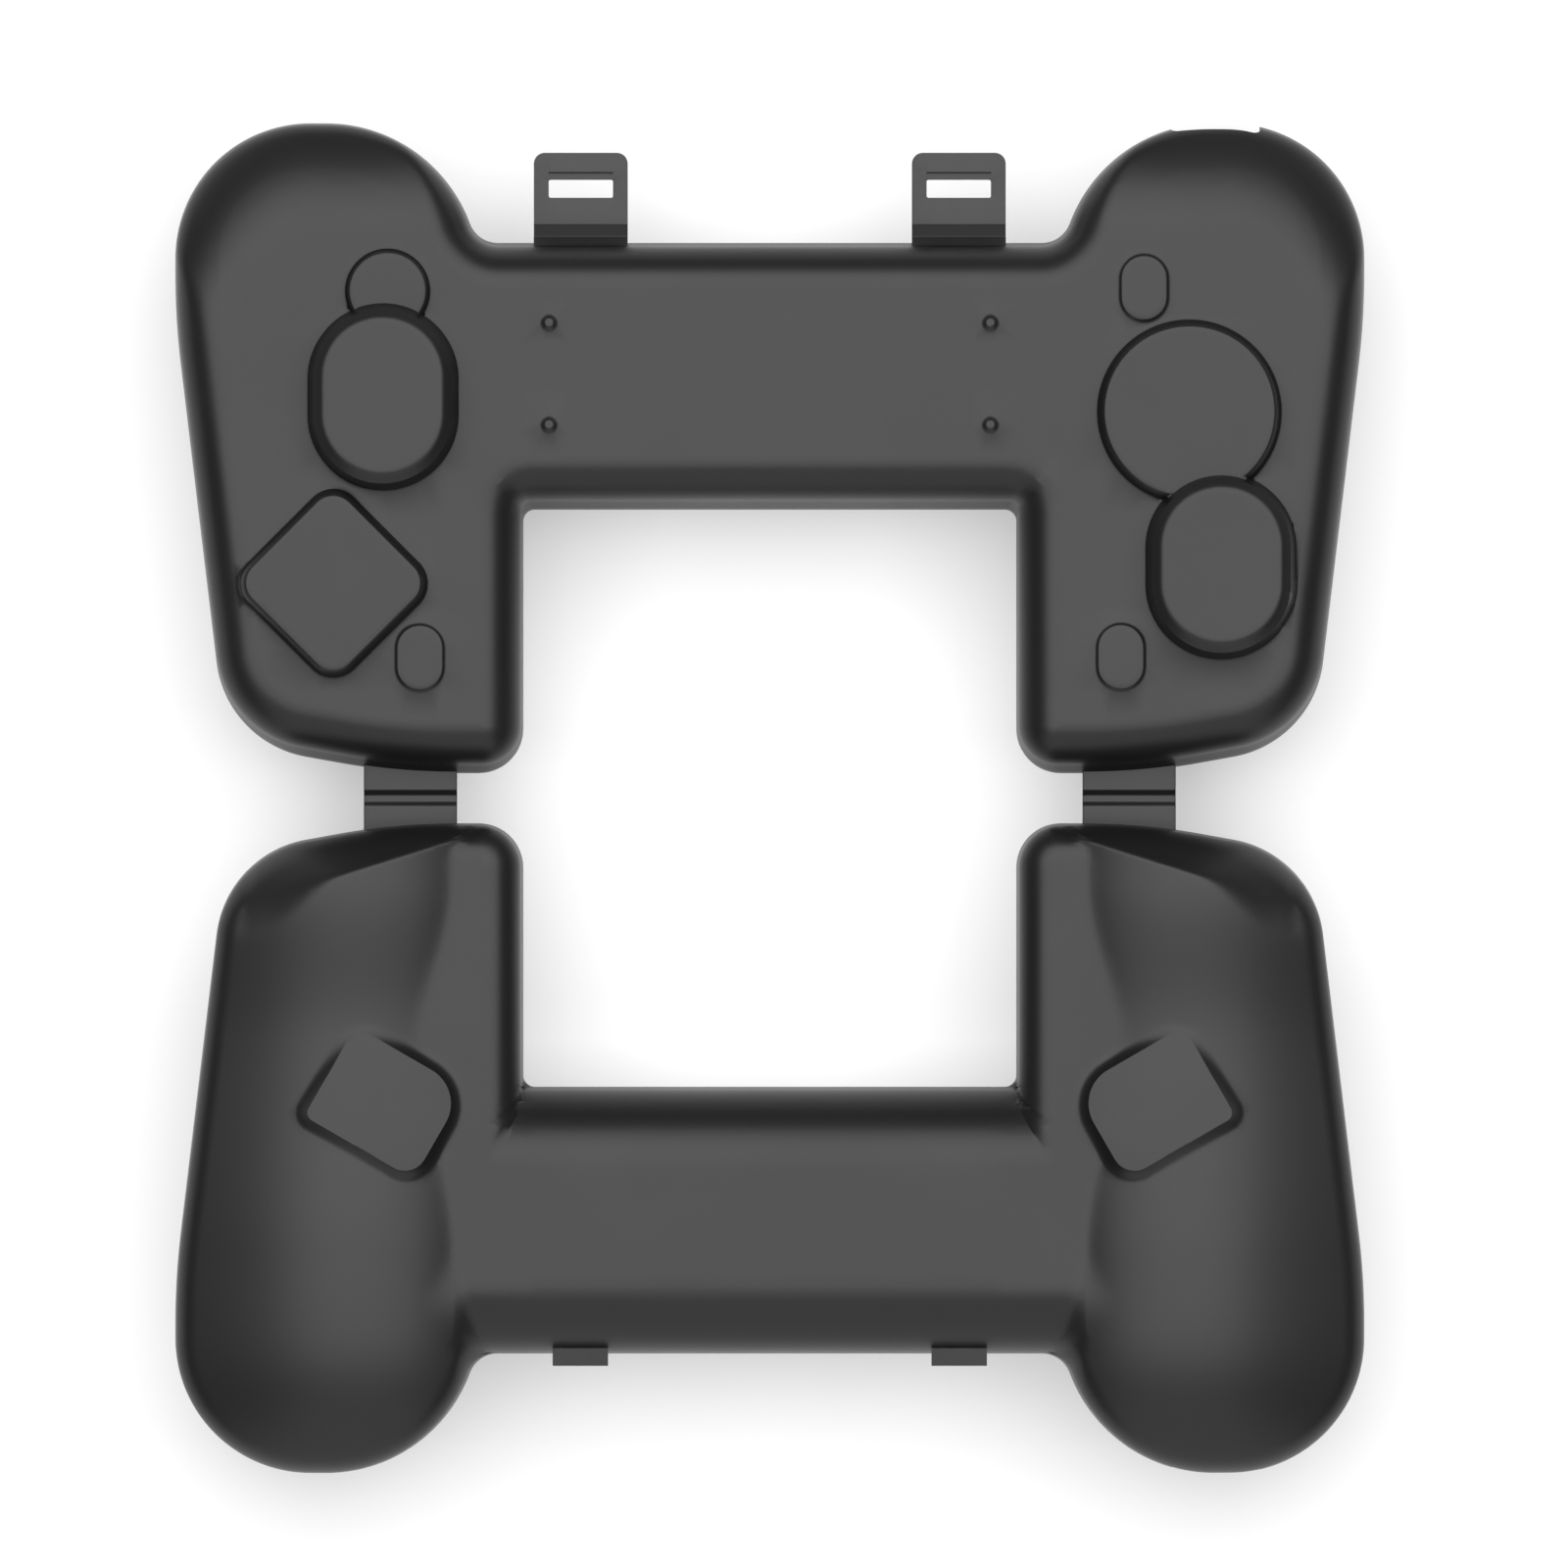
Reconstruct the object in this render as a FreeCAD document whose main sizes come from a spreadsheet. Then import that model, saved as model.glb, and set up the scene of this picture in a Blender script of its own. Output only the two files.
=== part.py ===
import FreeCAD, Part
import math
import os

import Sketcher
from FreeCAD import Placement, Rotation, Vector

# Hard clamshell cover for a handheld game controller, opened flat with its outside up.
# X runs along the bar, Y from the rear shell to the front shell and Z up.
# The origin is the middle of the fold line, on the plane of the two rims.

doc = FreeCAD.newDocument("controller_cover")
sheet = doc.addObject("Spreadsheet::Sheet", "Sizes")
sheet_rows = []


def size(alias, value, note):
    """Write one driving dimension into the sheet and hand it back."""
    row = len(sheet_rows) + 1
    sheet.set("A%d" % row, note)
    sheet.set("B%d" % row, str(value))
    sheet.setAlias("B%d" % row, alias)
    sheet_rows.append(alias)
    return value


# Plan outline, the same for both shells
window_width = size("window_width", 76.7, "clear width of the window between the grips")
grip_width = size("grip_width", 54.15, "window side to the widest point of a grip")
window_depth = size("window_depth", 41.0, "shoulder edge to the bar")
bar_depth = size("bar_depth", 41.5, "depth of the bar")
handle_length = size("handle_length", 18.6, "how far the handles reach past the bar")
shoulder_gap = size("shoulder_gap", 3.9, "fold line to the shoulder edge")
shoulder_flat = size("shoulder_flat", 19.65, "straight part of the shoulder edge")
shoulder_slope = size("shoulder_slope", 10.2, "angle of the sloping part of the shoulder")
widest_back = size("widest_back", 30.4, "handle end to the widest point of the grip")
grip_taper = size("grip_taper", 6.84, "angle of the grip's outer side")
handle_inset = size("handle_inset", 7.2, "window side to the foot of the handle's inner side")
handle_lean = size("handle_lean", 69.8, "angle of the handle's inner side")
tip_outer_radius = size("tip_outer_radius", 21.0, "outer corner of the handle end")
tip_inner_radius = size("tip_inner_radius", 23.8, "inner corner of the handle end")
side_radius = size("side_radius", 120.0, "bend in the grip's outer side")
corner_radius = size("corner_radius", 17.0, "outer corner at the shoulder")
bend_radius = size("bend_radius", 100.0, "bend in the shoulder edge")
column_radius = size("column_radius", 6.9, "inner corner at the shoulder")
window_radius = size("window_radius", 1.8, "corner of the window at the bar")
root_radius = size("root_radius", 4.6, "hollow between the handle and the bar")

# Shells
wall = size("wall", 1.5, "wall of both shells")
front_height = size("front_height", 12.0, "rim to the flat face of the front shell")
front_roll = size("front_roll", 6.5, "rounded edge of the front shell")
rear_height = size("rear_height", 14.5, "rim to the flat face of the rear shell")
bar_far_roll = size("bar_far_roll", 10.7, "rounded outer edge of the rear bar")
bar_near_roll = size("bar_near_roll", 11.4, "rounded window edge of the rear bar")
column_roll = size("column_roll", 5.2, "rounded edge beside the rear window")
grip_roll = size("grip_roll", 6.0, "width of the rounded outer edge of the rear grips")
grip_fall = size("grip_fall", 2.4, "fall across that rounded edge")

# Domed handle ends of the front shell
dome_radius = size("dome_radius", 27.0, "radius of the domed fall")
dome_reach = size("dome_reach", 26.0, "flat radius inside the domed fall")
dome_back = size("dome_back", 43.0, "handle end to the middle of the dome")
dome_side = size("dome_side", 30.5, "widest point of the grip to the middle of the dome")
dome_crease = size("dome_crease", 3.0, "angle of the crease where the fall starts")

# Rear grips
trigger_height = size("trigger_height", 18.2, "top of the hump over the triggers")
trigger_at = size("trigger_at", 12.7, "fold line to the top of the hump")
valley_height = size("valley_height", 15.8, "lowest point of the crest")
valley_at = size("valley_at", 37.4, "fold line to the valley")
palm_height = size("palm_height", 18.3, "top of the palm swell")
palm_at = size("palm_at", 70.0, "fold line to the palm swell")
tip_drop = size("tip_drop", 8.3, "fall of the crest to the handle end")
crest_side = size("crest_side", 27.2, "widest point of the grip to the crest")
crown_radius = size("crown_radius", 34.5, "crown of the grip from the crest towards the window")
flank_radius = size("flank_radius", 2.0, "turn-down of the grip beside the bar and the window")
outer_lean = size("outer_lean", 0.52, "slope that the grip's outer side tends to")
outer_bend = size("outer_bend", 15.0, "width over which it bends to that slope")
ridge_at = size("ridge_at", 6.4, "fold line to the inner end of the hump's ridge")
ridge_slope = size("ridge_slope", 17.6, "angle of the hump's ridge in plan")
shoulder_lean = size("shoulder_lean", 33.0, "lean of the hump's shoulder side from upright")
pad_long = size("pad_long", 23.2, "length of the raised rear pad")
pad_short = size("pad_short", 17.1, "width of the raised rear pad")
pad_turn = size("pad_turn", 30.0, "turn of the raised rear pad")
pad_height = size("pad_height", 17.9, "rim to the top of the raised rear pad")
pad_draft = size("pad_draft", 0.8, "how far the pad's sides lean in")

# Raised rooms over the controls
stick_width = size("stick_width", 23.2, "width of the stick rooms")
stick_length = size("stick_length", 28.6, "length of the stick rooms")
stick_rise = size("stick_rise", 7.0, "height of the stick rooms")
cross_width = size("cross_width", 28.6, "width of the round room over the cross pad")
cross_rise = size("cross_rise", 3.0, "height of the round room")
keys_side = size("keys_side", 23.4, "side of the turned square room over the face buttons")
keys_corner = size("keys_corner", 4.6, "corner radius of that room")
keys_rise = size("keys_rise", 3.0, "height of that room")
disc_width = size("disc_width", 13.2, "width of the small round step")
disc_rise = size("disc_rise", 1.5, "height of the small round step")
oval_width = size("oval_width", 7.6, "width of the small ovals")
oval_length = size("oval_length", 10.5, "length of the small ovals")
oval_rise = size("oval_rise", 0.4, "height of the small ovals")
stud_width = size("stud_width", 2.3, "width of the small round studs")
stud_rise = size("stud_rise", 0.5, "height of the small round studs")
room_draft = size("room_draft", 11.0, "draft of the rooms' walls")
room_edge = size("room_edge", 0.8, "bevelled upper edge of the rooms")

# Cable notch
notch_width = size("notch_width", 13.7, "width of the cable notch")
notch_height = size("notch_height", 5.0, "height of the cable notch in each shell")
notch_corner = size("notch_corner", 1.2, "rounded corners of the notch")
notch_inset = size("notch_inset", 23.15, "widest point of the grip to the notch's middle")

# Folding straps, latch tabs and catches
strap_width = size("strap_width", 14.5, "width of a folding strap")
strap_inset = size("strap_inset", 17.55, "window side to the strap's middle")
strap_thick = size("strap_thick", 1.2, "thickness of a strap")
film_thick = size("film_thick", 0.4, "thickness of the film that folds")
film_half = size("film_half", 1.5, "half width of the film")
tab_width = size("tab_width", 14.6, "width of a latch tab")
tab_reach = size("tab_reach", 14.0, "bar to the tip of a latch tab")
tab_thick = size("tab_thick", 1.2, "thickness of a latch tab")
tab_offset = size("tab_offset", 29.4, "middle of the bar to the middle of a latch tab")
tab_radius = size("tab_radius", 1.7, "corners of a latch tab")
root_reach = size("root_reach", 0.9, "bar to the latch tab's fold")
root_cove = size("root_cove", 1.6, "hollow rising from the fold up the bar")
slot_width = size("slot_width", 10.0, "width of the latch slot")
slot_length = size("slot_length", 2.8, "length of the latch slot")
slot_at = size("slot_at", 8.4, "bar to the middle of the latch slot")
lead_depth = size("lead_depth", 0.35, "depth of the lead-in beyond the slot")
lead_length = size("lead_length", 1.2, "length of the lead-in")
catch_gap = size("catch_gap", 0.3, "clearance of the catch in the slot")
catch_width = size("catch_width", 8.6, "width of a catch")
catch_reach = size("catch_reach", 1.7, "how far a catch stands out of the bar")
doc.recompute()

# Places that follow from the sizes
window_side = window_width / 2
half_width = window_side + grip_width
bar_near = shoulder_gap + window_depth
bar_far = bar_near + bar_depth
handle_end = bar_far + handle_length
widest_at = handle_end - widest_back
crest_at = half_width - crest_side
grip_middle = window_side + grip_width / 2
ridge_start = window_side + grip_width * 0.195
ridge_soft = 0.8
column_width = grip_width / 3
dome_end = 24.0
pad_place = (crest_at - 5.9, shoulder_gap + 42.6)
pad_corners = (6.5, 1.0, 5.0, 6.0)

# Overlaps between forms that are joined or cut, and how near counts as touching
sink = 0.5
past = 4.0
margin = 2.5
sliver = 0.01
least_radius = 0.2


def outline_corners():
    """Corner points with radii of the plan outline, clockwise, for the front shell."""
    side_slope = math.tan(math.radians(grip_taper))
    edge_slope = math.tan(math.radians(shoulder_slope))
    bend_x = window_side + shoulder_flat
    root_x = window_side + handle_inset
    outer_x = (half_width - side_slope * (widest_at - shoulder_gap + edge_slope * bend_x))
    outer_x = outer_x / (1 - side_slope * edge_slope)
    outer_y = shoulder_gap + edge_slope * (outer_x - bend_x)
    lean_run = handle_length / math.tan(math.radians(handle_lean))
    right = [
        (root_x, bar_far, root_radius),
        (root_x + lean_run, handle_end, tip_inner_radius),
        (half_width, handle_end, tip_outer_radius),
        (half_width, widest_at, side_radius),
        (outer_x, outer_y, corner_radius),
        (bend_x, shoulder_gap, bend_radius),
        (window_side, shoulder_gap, column_radius),
        (window_side, bar_near, window_radius),
    ]
    left = [(-x, y, radius) for x, y, radius in reversed(right)]
    return right + left


def inset_corners(corners, inset, least=0.0):
    """Move every side of a clockwise outline inwards and fit the corner radii to it."""
    moved = []
    count = len(corners)
    for index in range(count):
        before = Vector(*corners[index - 1][:2], 0)
        here = Vector(*corners[index][:2], 0)
        after = Vector(*corners[(index + 1) % count][:2], 0)
        way_in = (here - before).normalize()
        way_out = (after - here).normalize()
        normal_in = Vector(way_in.y, -way_in.x, 0)
        normal_out = Vector(way_out.y, -way_out.x, 0)
        turn = way_in.x * way_out.y - way_in.y * way_out.x
        shift = (normal_in + normal_out) * (inset / (1 + normal_in.dot(normal_out)))
        radius = corners[index][2]
        if radius > 0:
            radius = max(radius - inset if turn < 0 else radius + inset, least)
        moved.append((here.x + shift.x, here.y + shift.y, radius))
    return moved


def rounded_wire(corners, level):
    """Closed wire of lines and tangent arcs, each radius limited by the sides beside it."""
    points = [Vector(x, y, level) for x, y, _ in corners]
    count = len(points)
    tangents = []
    for index in range(count):
        way_in = (points[index] - points[index - 1]).normalize()
        way_out = (points[(index + 1) % count] - points[index]).normalize()
        half_turn = way_in.getAngle(way_out) / 2
        tangents.append(corners[index][2] * math.tan(half_turn))
    for index in range(count):
        following = (index + 1) % count
        room = (points[following] - points[index]).Length * 0.98
        needed = tangents[index] + tangents[following]
        if needed > room:
            tangents[index] *= room / needed
            tangents[following] *= room / needed
    edges = []
    starts = []
    ends = []
    for index in range(count):
        way_in = (points[index] - points[index - 1]).normalize()
        way_out = (points[(index + 1) % count] - points[index]).normalize()
        start = points[index] - way_in * tangents[index]
        end = points[index] + way_out * tangents[index]
        starts.append(start)
        ends.append(end)
        if tangents[index] > 1e-6:
            half_turn = way_in.getAngle(way_out) / 2
            radius = tangents[index] / math.tan(half_turn)
            inner = (way_out - way_in).normalize()
            centre = points[index] + inner * (radius / math.cos(half_turn))
            middle = centre - inner * radius
            edges.append((index, Part.Arc(start, middle, end).toShape()))
    chain = []
    arcs = dict(edges)
    for index in range(count):
        if index in arcs:
            chain.append(arcs[index])
        following = (index + 1) % count
        if (starts[following] - ends[index]).Length > 1e-6:
            chain.append(Part.LineSegment(ends[index], starts[following]).toShape())
    return Part.Wire(chain)


def prism(corners, low, high):
    """Upright solid on a rounded outline."""
    face = Part.Face(rounded_wire(corners, low))
    return face.extrude(Vector(0, 0, high - low))


def box(x_low, x_high, y_low, y_high, z_low, z_high):
    """Plain box between six planes."""
    corner = Vector(x_low, y_low, z_low)
    return Part.makeBox(x_high - x_low, y_high - y_low, z_high - z_low, corner)


def mirrored(shape, normal):
    """The same shape on the other side of a plane through the origin."""
    return shape.mirror(Vector(0, 0, 0), normal)


def top_edges(shape, level, tolerance=1e-4):
    """Edges that lie wholly on one level."""
    found = []
    for edge in shape.Edges:
        bounds = edge.BoundBox
        if abs(bounds.ZMin - level) < tolerance and abs(bounds.ZMax - level) < tolerance:
            found.append(edge)
    return found


def dome_cutter(inset):
    """What the domed fall takes off a front handle end, on the +X side."""
    crease = math.radians(dome_crease)
    middle_x = half_width - dome_side
    middle_y = handle_end - dome_back
    centre_r = dome_reach - dome_radius * math.sin(crease)
    centre_z = front_height - dome_radius * math.cos(crease)
    radius = dome_radius - inset
    top = front_height + past
    end_angle = math.radians(dome_end)

    def at(angle):
        return Vector(centre_r + radius * math.cos(angle), 0, centre_z + radius * math.sin(angle))

    above = math.radians(90.0 - dome_crease / 2)
    start = at(above)
    end = at(end_angle)
    arc = Part.Arc(start, at((above + end_angle) / 2), end).toShape()
    side = Part.LineSegment(end, Vector(end.x, 0, top)).toShape()
    lid = Part.LineSegment(Vector(end.x, 0, top), Vector(start.x, 0, top)).toShape()
    back = Part.LineSegment(Vector(start.x, 0, top), start).toShape()
    face = Part.Face(Part.Wire([arc, side, lid, back]))
    axis = Vector(0, 0, 1)
    turned = face.revolve(Vector(0, 0, 0), axis, 90)
    outer_run = face.extrude(Vector(0, -dome_reach, 0))
    across = face.copy()
    across.rotate(Vector(0, 0, 0), axis, 90)
    inner_run = across.extrude(Vector(-dome_reach, 0, 0))
    cutter = turned.fuse([outer_run, inner_run]).removeSplitter()
    cutter.translate(Vector(middle_x, middle_y, 0))
    return cutter


def stadium(centre_x, centre_y, width, length):
    """Corner list of an upright stadium."""
    half_w = width / 2
    half_l = length / 2
    radius = half_w * 0.999
    return [
        (centre_x - half_w, centre_y + half_l, radius),
        (centre_x + half_w, centre_y + half_l, radius),
        (centre_x + half_w, centre_y - half_l, radius),
        (centre_x - half_w, centre_y - half_l, radius),
    ]


def turned_box(centre_x, centre_y, length, width, turn, radii):
    """Corner list of a rectangle with its own radius at each corner, turned in plan."""
    angle = math.radians(turn)
    long_way = Vector(math.cos(angle), math.sin(angle), 0)
    short_way = Vector(-math.sin(angle), math.cos(angle), 0)
    corners = []
    for along, across, radius in ((-1, 1, radii[0]), (1, 1, radii[1]), (1, -1, radii[2]), (-1, -1, radii[3])):
        place = long_way * (along * length / 2) + short_way * (across * width / 2)
        corners.append((centre_x + place.x, centre_y + place.y, radius))
    return corners


def room(corners, base, rise, inset):
    """Raised room with drafted walls and a bevelled upper edge, or its hollow if inset."""
    lean = math.tan(math.radians(room_draft))
    high = base + rise - inset
    low = base - wall - sink
    shoulder = high - room_edge
    foot = inset_corners(corners, inset - lean * (base - low))
    upper = inset_corners(foot, lean * (shoulder - low))
    lid = inset_corners(upper, room_edge)
    sections = [rounded_wire(foot, low), rounded_wire(upper, shoulder)]
    form = Part.makeLoft(sections, True, True)
    bevel = Part.makeLoft([rounded_wire(upper, shoulder), rounded_wire(lid, high)], True, True)
    return form.fuse(bevel)


# Plan places of the rooms over the controls: x, y from the fold line
stick_left = (-(grip_middle - 5.4), bar_near + 17.5)
stick_right = (grip_middle + 4.5, bar_near - 8.8)
cross_right = (grip_middle - 0.4, bar_near + 15.0)
keys_left = (-(grip_middle + 2.2), bar_near - 11.6)
disc_left = (-(grip_middle - 6.2), bar_far - 7.8)
oval_places = (
    (-(grip_middle - 11.2), bar_near - 23.1),
    (grip_middle - 11.0, bar_near - 23.0),
    (grip_middle - 7.4, bar_far - 7.3),
)
stud_offset = 34.2
stud_rows = (bar_far - 12.7, bar_far - 28.5)


def front_rooms(inset):
    """Every raised room of the front shell, outside with no inset or inside with one."""
    parts = []
    for place in (stick_left, stick_right):
        parts.append(room(stadium(*place, stick_width, stick_length), front_height, stick_rise, inset))
    round_room = stadium(*cross_right, cross_width, cross_width)
    parts.append(room(round_room, front_height, cross_rise, inset))
    keys = turned_box(*keys_left, keys_side, keys_side, 45.0, [keys_corner] * 4)
    parts.append(room(keys, front_height, keys_rise, inset))
    return parts


def bevelled_prism(corners, low, high, radius):
    """Upright solid whose upper edge follows a round of that radius in two bevels."""
    form = prism(corners, low, high - radius)
    for start, end in ((0.0, math.pi / 4), (math.pi / 4, math.pi / 2)):
        sections = []
        for angle in (start, end):
            moved = inset_corners(corners, radius * (1 - math.cos(angle)), least_radius)
            sections.append(rounded_wire(moved, high - radius * (1 - math.sin(angle))))
        form = form.fuse(Part.makeLoft(sections, True, True))
    return form


def front_form(inset):
    """Outer form of the front shell, or its plainer hollow where inset is the wall."""
    corners = inset_corners(outline_corners(), inset)
    high = front_height - inset
    if inset:
        form = bevelled_prism(corners, -past, high, front_roll - inset)
    else:
        form = prism(corners, 0.0, high)
        form = form.makeFillet(front_roll, top_edges(form, high))
    cutter = dome_cutter(inset)
    form = form.cut([cutter, mirrored(cutter, Vector(1, 0, 0))])
    form = form.fuse(front_rooms(inset))
    return form


def cable_notch():
    """Cutter for the cable's way out at the end of the +X handle."""
    middle = half_width - notch_inset
    half = notch_width / 2
    slot = box(middle - half, middle + half, handle_end - past * 2, handle_end + past, -past, notch_height)
    corners = [edge for edge in top_edges(slot, notch_height) if edge.BoundBox.YLength > past]
    return slot.makeFillet(notch_corner, corners)


def hollowed(form, hollow):
    """Cut a shell's hollow out of its form, and refuse a cut that hasn't worked."""
    shell = form.cut(hollow)
    if shell.Volume > form.Volume * 0.6:
        raise RuntimeError("a hollow was not cut")
    return shell


def front_shell_shape():
    """The front shell as one moulding."""
    shell = hollowed(front_form(0.0), front_form(wall)).cut(cable_notch())
    small = []
    disc = stadium(*disc_left, disc_width, disc_width)
    small.append(prism(disc, front_height - wall / 2, front_height + disc_rise))
    for place in oval_places:
        oval = stadium(*place, oval_width, oval_length)
        small.append(prism(oval, front_height - wall / 2, front_height + oval_rise))
    for x in (-stud_offset, stud_offset):
        for y in stud_rows:
            stud = stadium(x, y, stud_width, stud_width)
            small.append(prism(stud, front_height - wall / 2, front_height + stud_rise))
    return shell.fuse(small)


def ease(share):
    """Smooth step from 0 to 1."""
    share = min(max(share, 0.0), 1.0)
    return share * share * (3 - 2 * share)


def crest_level(y):
    """Height of the rear grip along its crest."""
    if y < valley_at:
        rise = trigger_height - valley_height
        return valley_height + rise * ease((valley_at - y) / (valley_at - trigger_at))
    if y < palm_at:
        rise = palm_height - valley_height
        return valley_height + rise * ease((y - valley_at) / (palm_at - valley_at))
    return palm_height - tip_drop * ((y - palm_at) / (handle_end - palm_at)) ** 4


def crown_level(x, y):
    """Height of the rear grip's crown, falling away on both sides of its crest."""
    across = x - crest_at
    if across < 0:
        flank = max(ridge_start - x, 0.0)
        return crest_level(y) - across ** 2 / (2 * crown_radius) - flank ** 2 / (2 * flank_radius)
    return crest_level(y) - outer_lean * (math.hypot(across, outer_bend) - outer_bend)


def grip_level(x, y, inside):
    """Height of the rear grip's face at a place that lies so far inside the outline."""
    level = crown_level(x, y)
    ridge_y = ridge_at + math.tan(math.radians(ridge_slope)) * (x - ridge_start)
    side = crown_level(x, ridge_y) + (y - ridge_y) / math.tan(math.radians(shoulder_lean))
    soft = ridge_soft * (1 + 3 * ease((x - crest_at) / (crest_side * 0.6)))
    apart = level - side
    if apart > soft:
        level = side
    elif apart > -soft:
        level -= (apart + soft) ** 2 / (4 * soft)
    if inside < grip_roll:
        level -= grip_fall * (1 - max(inside, -grip_roll / 2) / grip_roll) ** 2
    return level


def grip_face(inset):
    """The rear grip's face as one smooth surface, lowered by the inset along its slope."""
    columns = 18
    rows = 34
    x_low = window_side + sink
    x_high = half_width + margin
    y_low = shoulder_gap - margin
    y_high = handle_end + margin
    rim = rounded_wire(outline_corners(), 0.0)
    inner = Part.Face(rim)
    levels = []
    for i in range(columns):
        x = x_low + (x_high - x_low) * i / (columns - 1)
        line = []
        for j in range(rows):
            y = y_low + (y_high - y_low) * j / (rows - 1)
            spot = Vector(x, y, 0)
            inside = rim.distToShape(Part.Vertex(spot))[0]
            if not inner.isInside(spot, 1e-6, True):
                inside = -inside
            line.append(Vector(x, y, grip_level(x, y, inside)))
        levels.append(line)
    grid = [list(line) for line in levels]
    if inset:
        for i in range(columns):
            for j in range(rows):
                back = levels[max(i - 1, 0)][j]
                on = levels[min(i + 1, columns - 1)][j]
                under = levels[i][max(j - 1, 0)]
                over = levels[i][min(j + 1, rows - 1)]
                slope_x = (on.z - back.z) / (on.x - back.x)
                slope_y = (over.z - under.z) / (over.y - under.y)
                drop = inset * math.sqrt(1 + slope_x ** 2 + slope_y ** 2)
                grid[i][j] = levels[i][j] - Vector(0, 0, drop)
    surface = Part.BSplineSurface()
    column_turns = [4] + [1] * (columns - 4) + [4]
    row_turns = [4] + [1] * (rows - 4) + [4]
    column_knots = list(range(columns - 2))
    row_knots = list(range(rows - 2))
    surface.buildFromPolesMultsKnots(
        grid, column_turns, row_turns, column_knots, row_knots, False, False, 3, 3)
    return surface.toShape()


def grip_form(inset):
    """One rear grip on the +X side, or its hollow, drawn in the front shell's quarter."""
    outline = inset_corners(outline_corners(), inset)
    low = -past if inset else 0.0
    sky = trigger_height * 2
    column = box(window_side + past + inset, half_width + margin, 0.0, handle_end + margin, low, sky)
    blank = prism(outline, low, sky).common(column)
    under = grip_face(inset).extrude(Vector(0, 0, -2 * sky))
    return blank.common(under)


def rear_pad(inset):
    """Raised pad on a rear grip, or its hollow."""
    corners = turned_box(*pad_place, pad_long, pad_short, -pad_turn, pad_corners)
    outer = inset_corners(corners, inset)
    drawn = inset_corners(outer, pad_draft)
    sections = [rounded_wire(outer, pad_height - past - inset), rounded_wire(drawn, pad_height - inset)]
    return Part.makeLoft(sections, True, True)


def rear_bar(inset):
    """The rear bar with its rolled long edges, or its hollow."""
    side = window_side + column_width
    low = -past if inset else 0.0
    high = rear_height - inset
    form = box(-side, side, bar_near + inset, bar_far - inset, low, high)
    far = [edge for edge in top_edges(form, high) if edge.BoundBox.YMin > bar_far - inset - sliver]
    form = form.makeFillet(bar_far_roll - inset, far)
    near = [edge for edge in top_edges(form, high) if edge.BoundBox.YMax < bar_near + inset + sliver]
    return form.makeFillet(bar_near_roll - inset, near)


def rear_column(inset):
    """The flat strip beside the window on the +X side, or its hollow."""
    outer = window_side + column_width
    inner_y = bar_near + bar_near_roll * 1.7
    low = -past if inset else 0.0
    high = rear_height - inset
    blank = prism(inset_corners(outline_corners(), inset), low, high)
    form = blank.common(box(0.0, outer, 0.0, bar_near - sink, low, high))
    rolled = []
    for edge in top_edges(form, high):
        bounds = edge.BoundBox
        if bounds.XMin < outer - sliver and bounds.YMin < bar_near - sink - sliver:
            rolled.append(edge)
    form = form.makeFillet(column_roll - inset, rolled)
    window = window_side + inset
    run = box(window, outer, bar_near - sink, inner_y, low, high)
    run = run.makeFillet(column_roll - inset, [edge for edge in top_edges(run, high)
                                               if edge.BoundBox.XMax < window + sliver])
    return form.fuse(run).removeSplitter()


def rear_quarter(inset):
    """Pieces of the rear shell's form in the front shell's quarter, both sides."""
    column = rear_column(inset)
    grip = grip_form(inset).fuse(rear_pad(inset))
    pieces = [column, grip]
    pieces += [mirrored(column, Vector(1, 0, 0)), mirrored(grip, Vector(1, 0, 0))]
    return rear_bar(inset).fuse(pieces)


def rear_shell_shape():
    """The rear shell as one moulding, behind the fold line."""
    shell = hollowed(rear_quarter(0.0), rear_quarter(wall)).cut(cable_notch())
    return mirrored(shell, Vector(0, 1, 0))


def hold(name, shape):
    """Put a form that code has drawn into the document under its own label."""
    feature = doc.addObject("Part::Feature", name)
    feature.Shape = shape
    feature.Label = name
    feature.Placement = Placement(Vector(0, 0, 0), Rotation())
    return feature


def bind(target, **expressions):
    """Tie properties of a document object to the sheet."""
    for name, expression in expressions.items():
        target.setExpression(name.replace("__", "."), expression)


def bound_box(name, length, width, height, x, y, z):
    """Part box whose sizes and place are expressions on the sheet."""
    block = doc.addObject("Part::Box", name)
    bind(block, Length=length, Width=width, Height=height)
    bind(block, Placement__Base__x=x, Placement__Base__y=y, Placement__Base__z=z)
    return block


def origin_plane(body, role):
    """One of a body's own origin planes."""
    return [item for item in body.Origin.OriginFeatures if item.Role == role][0]


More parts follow.
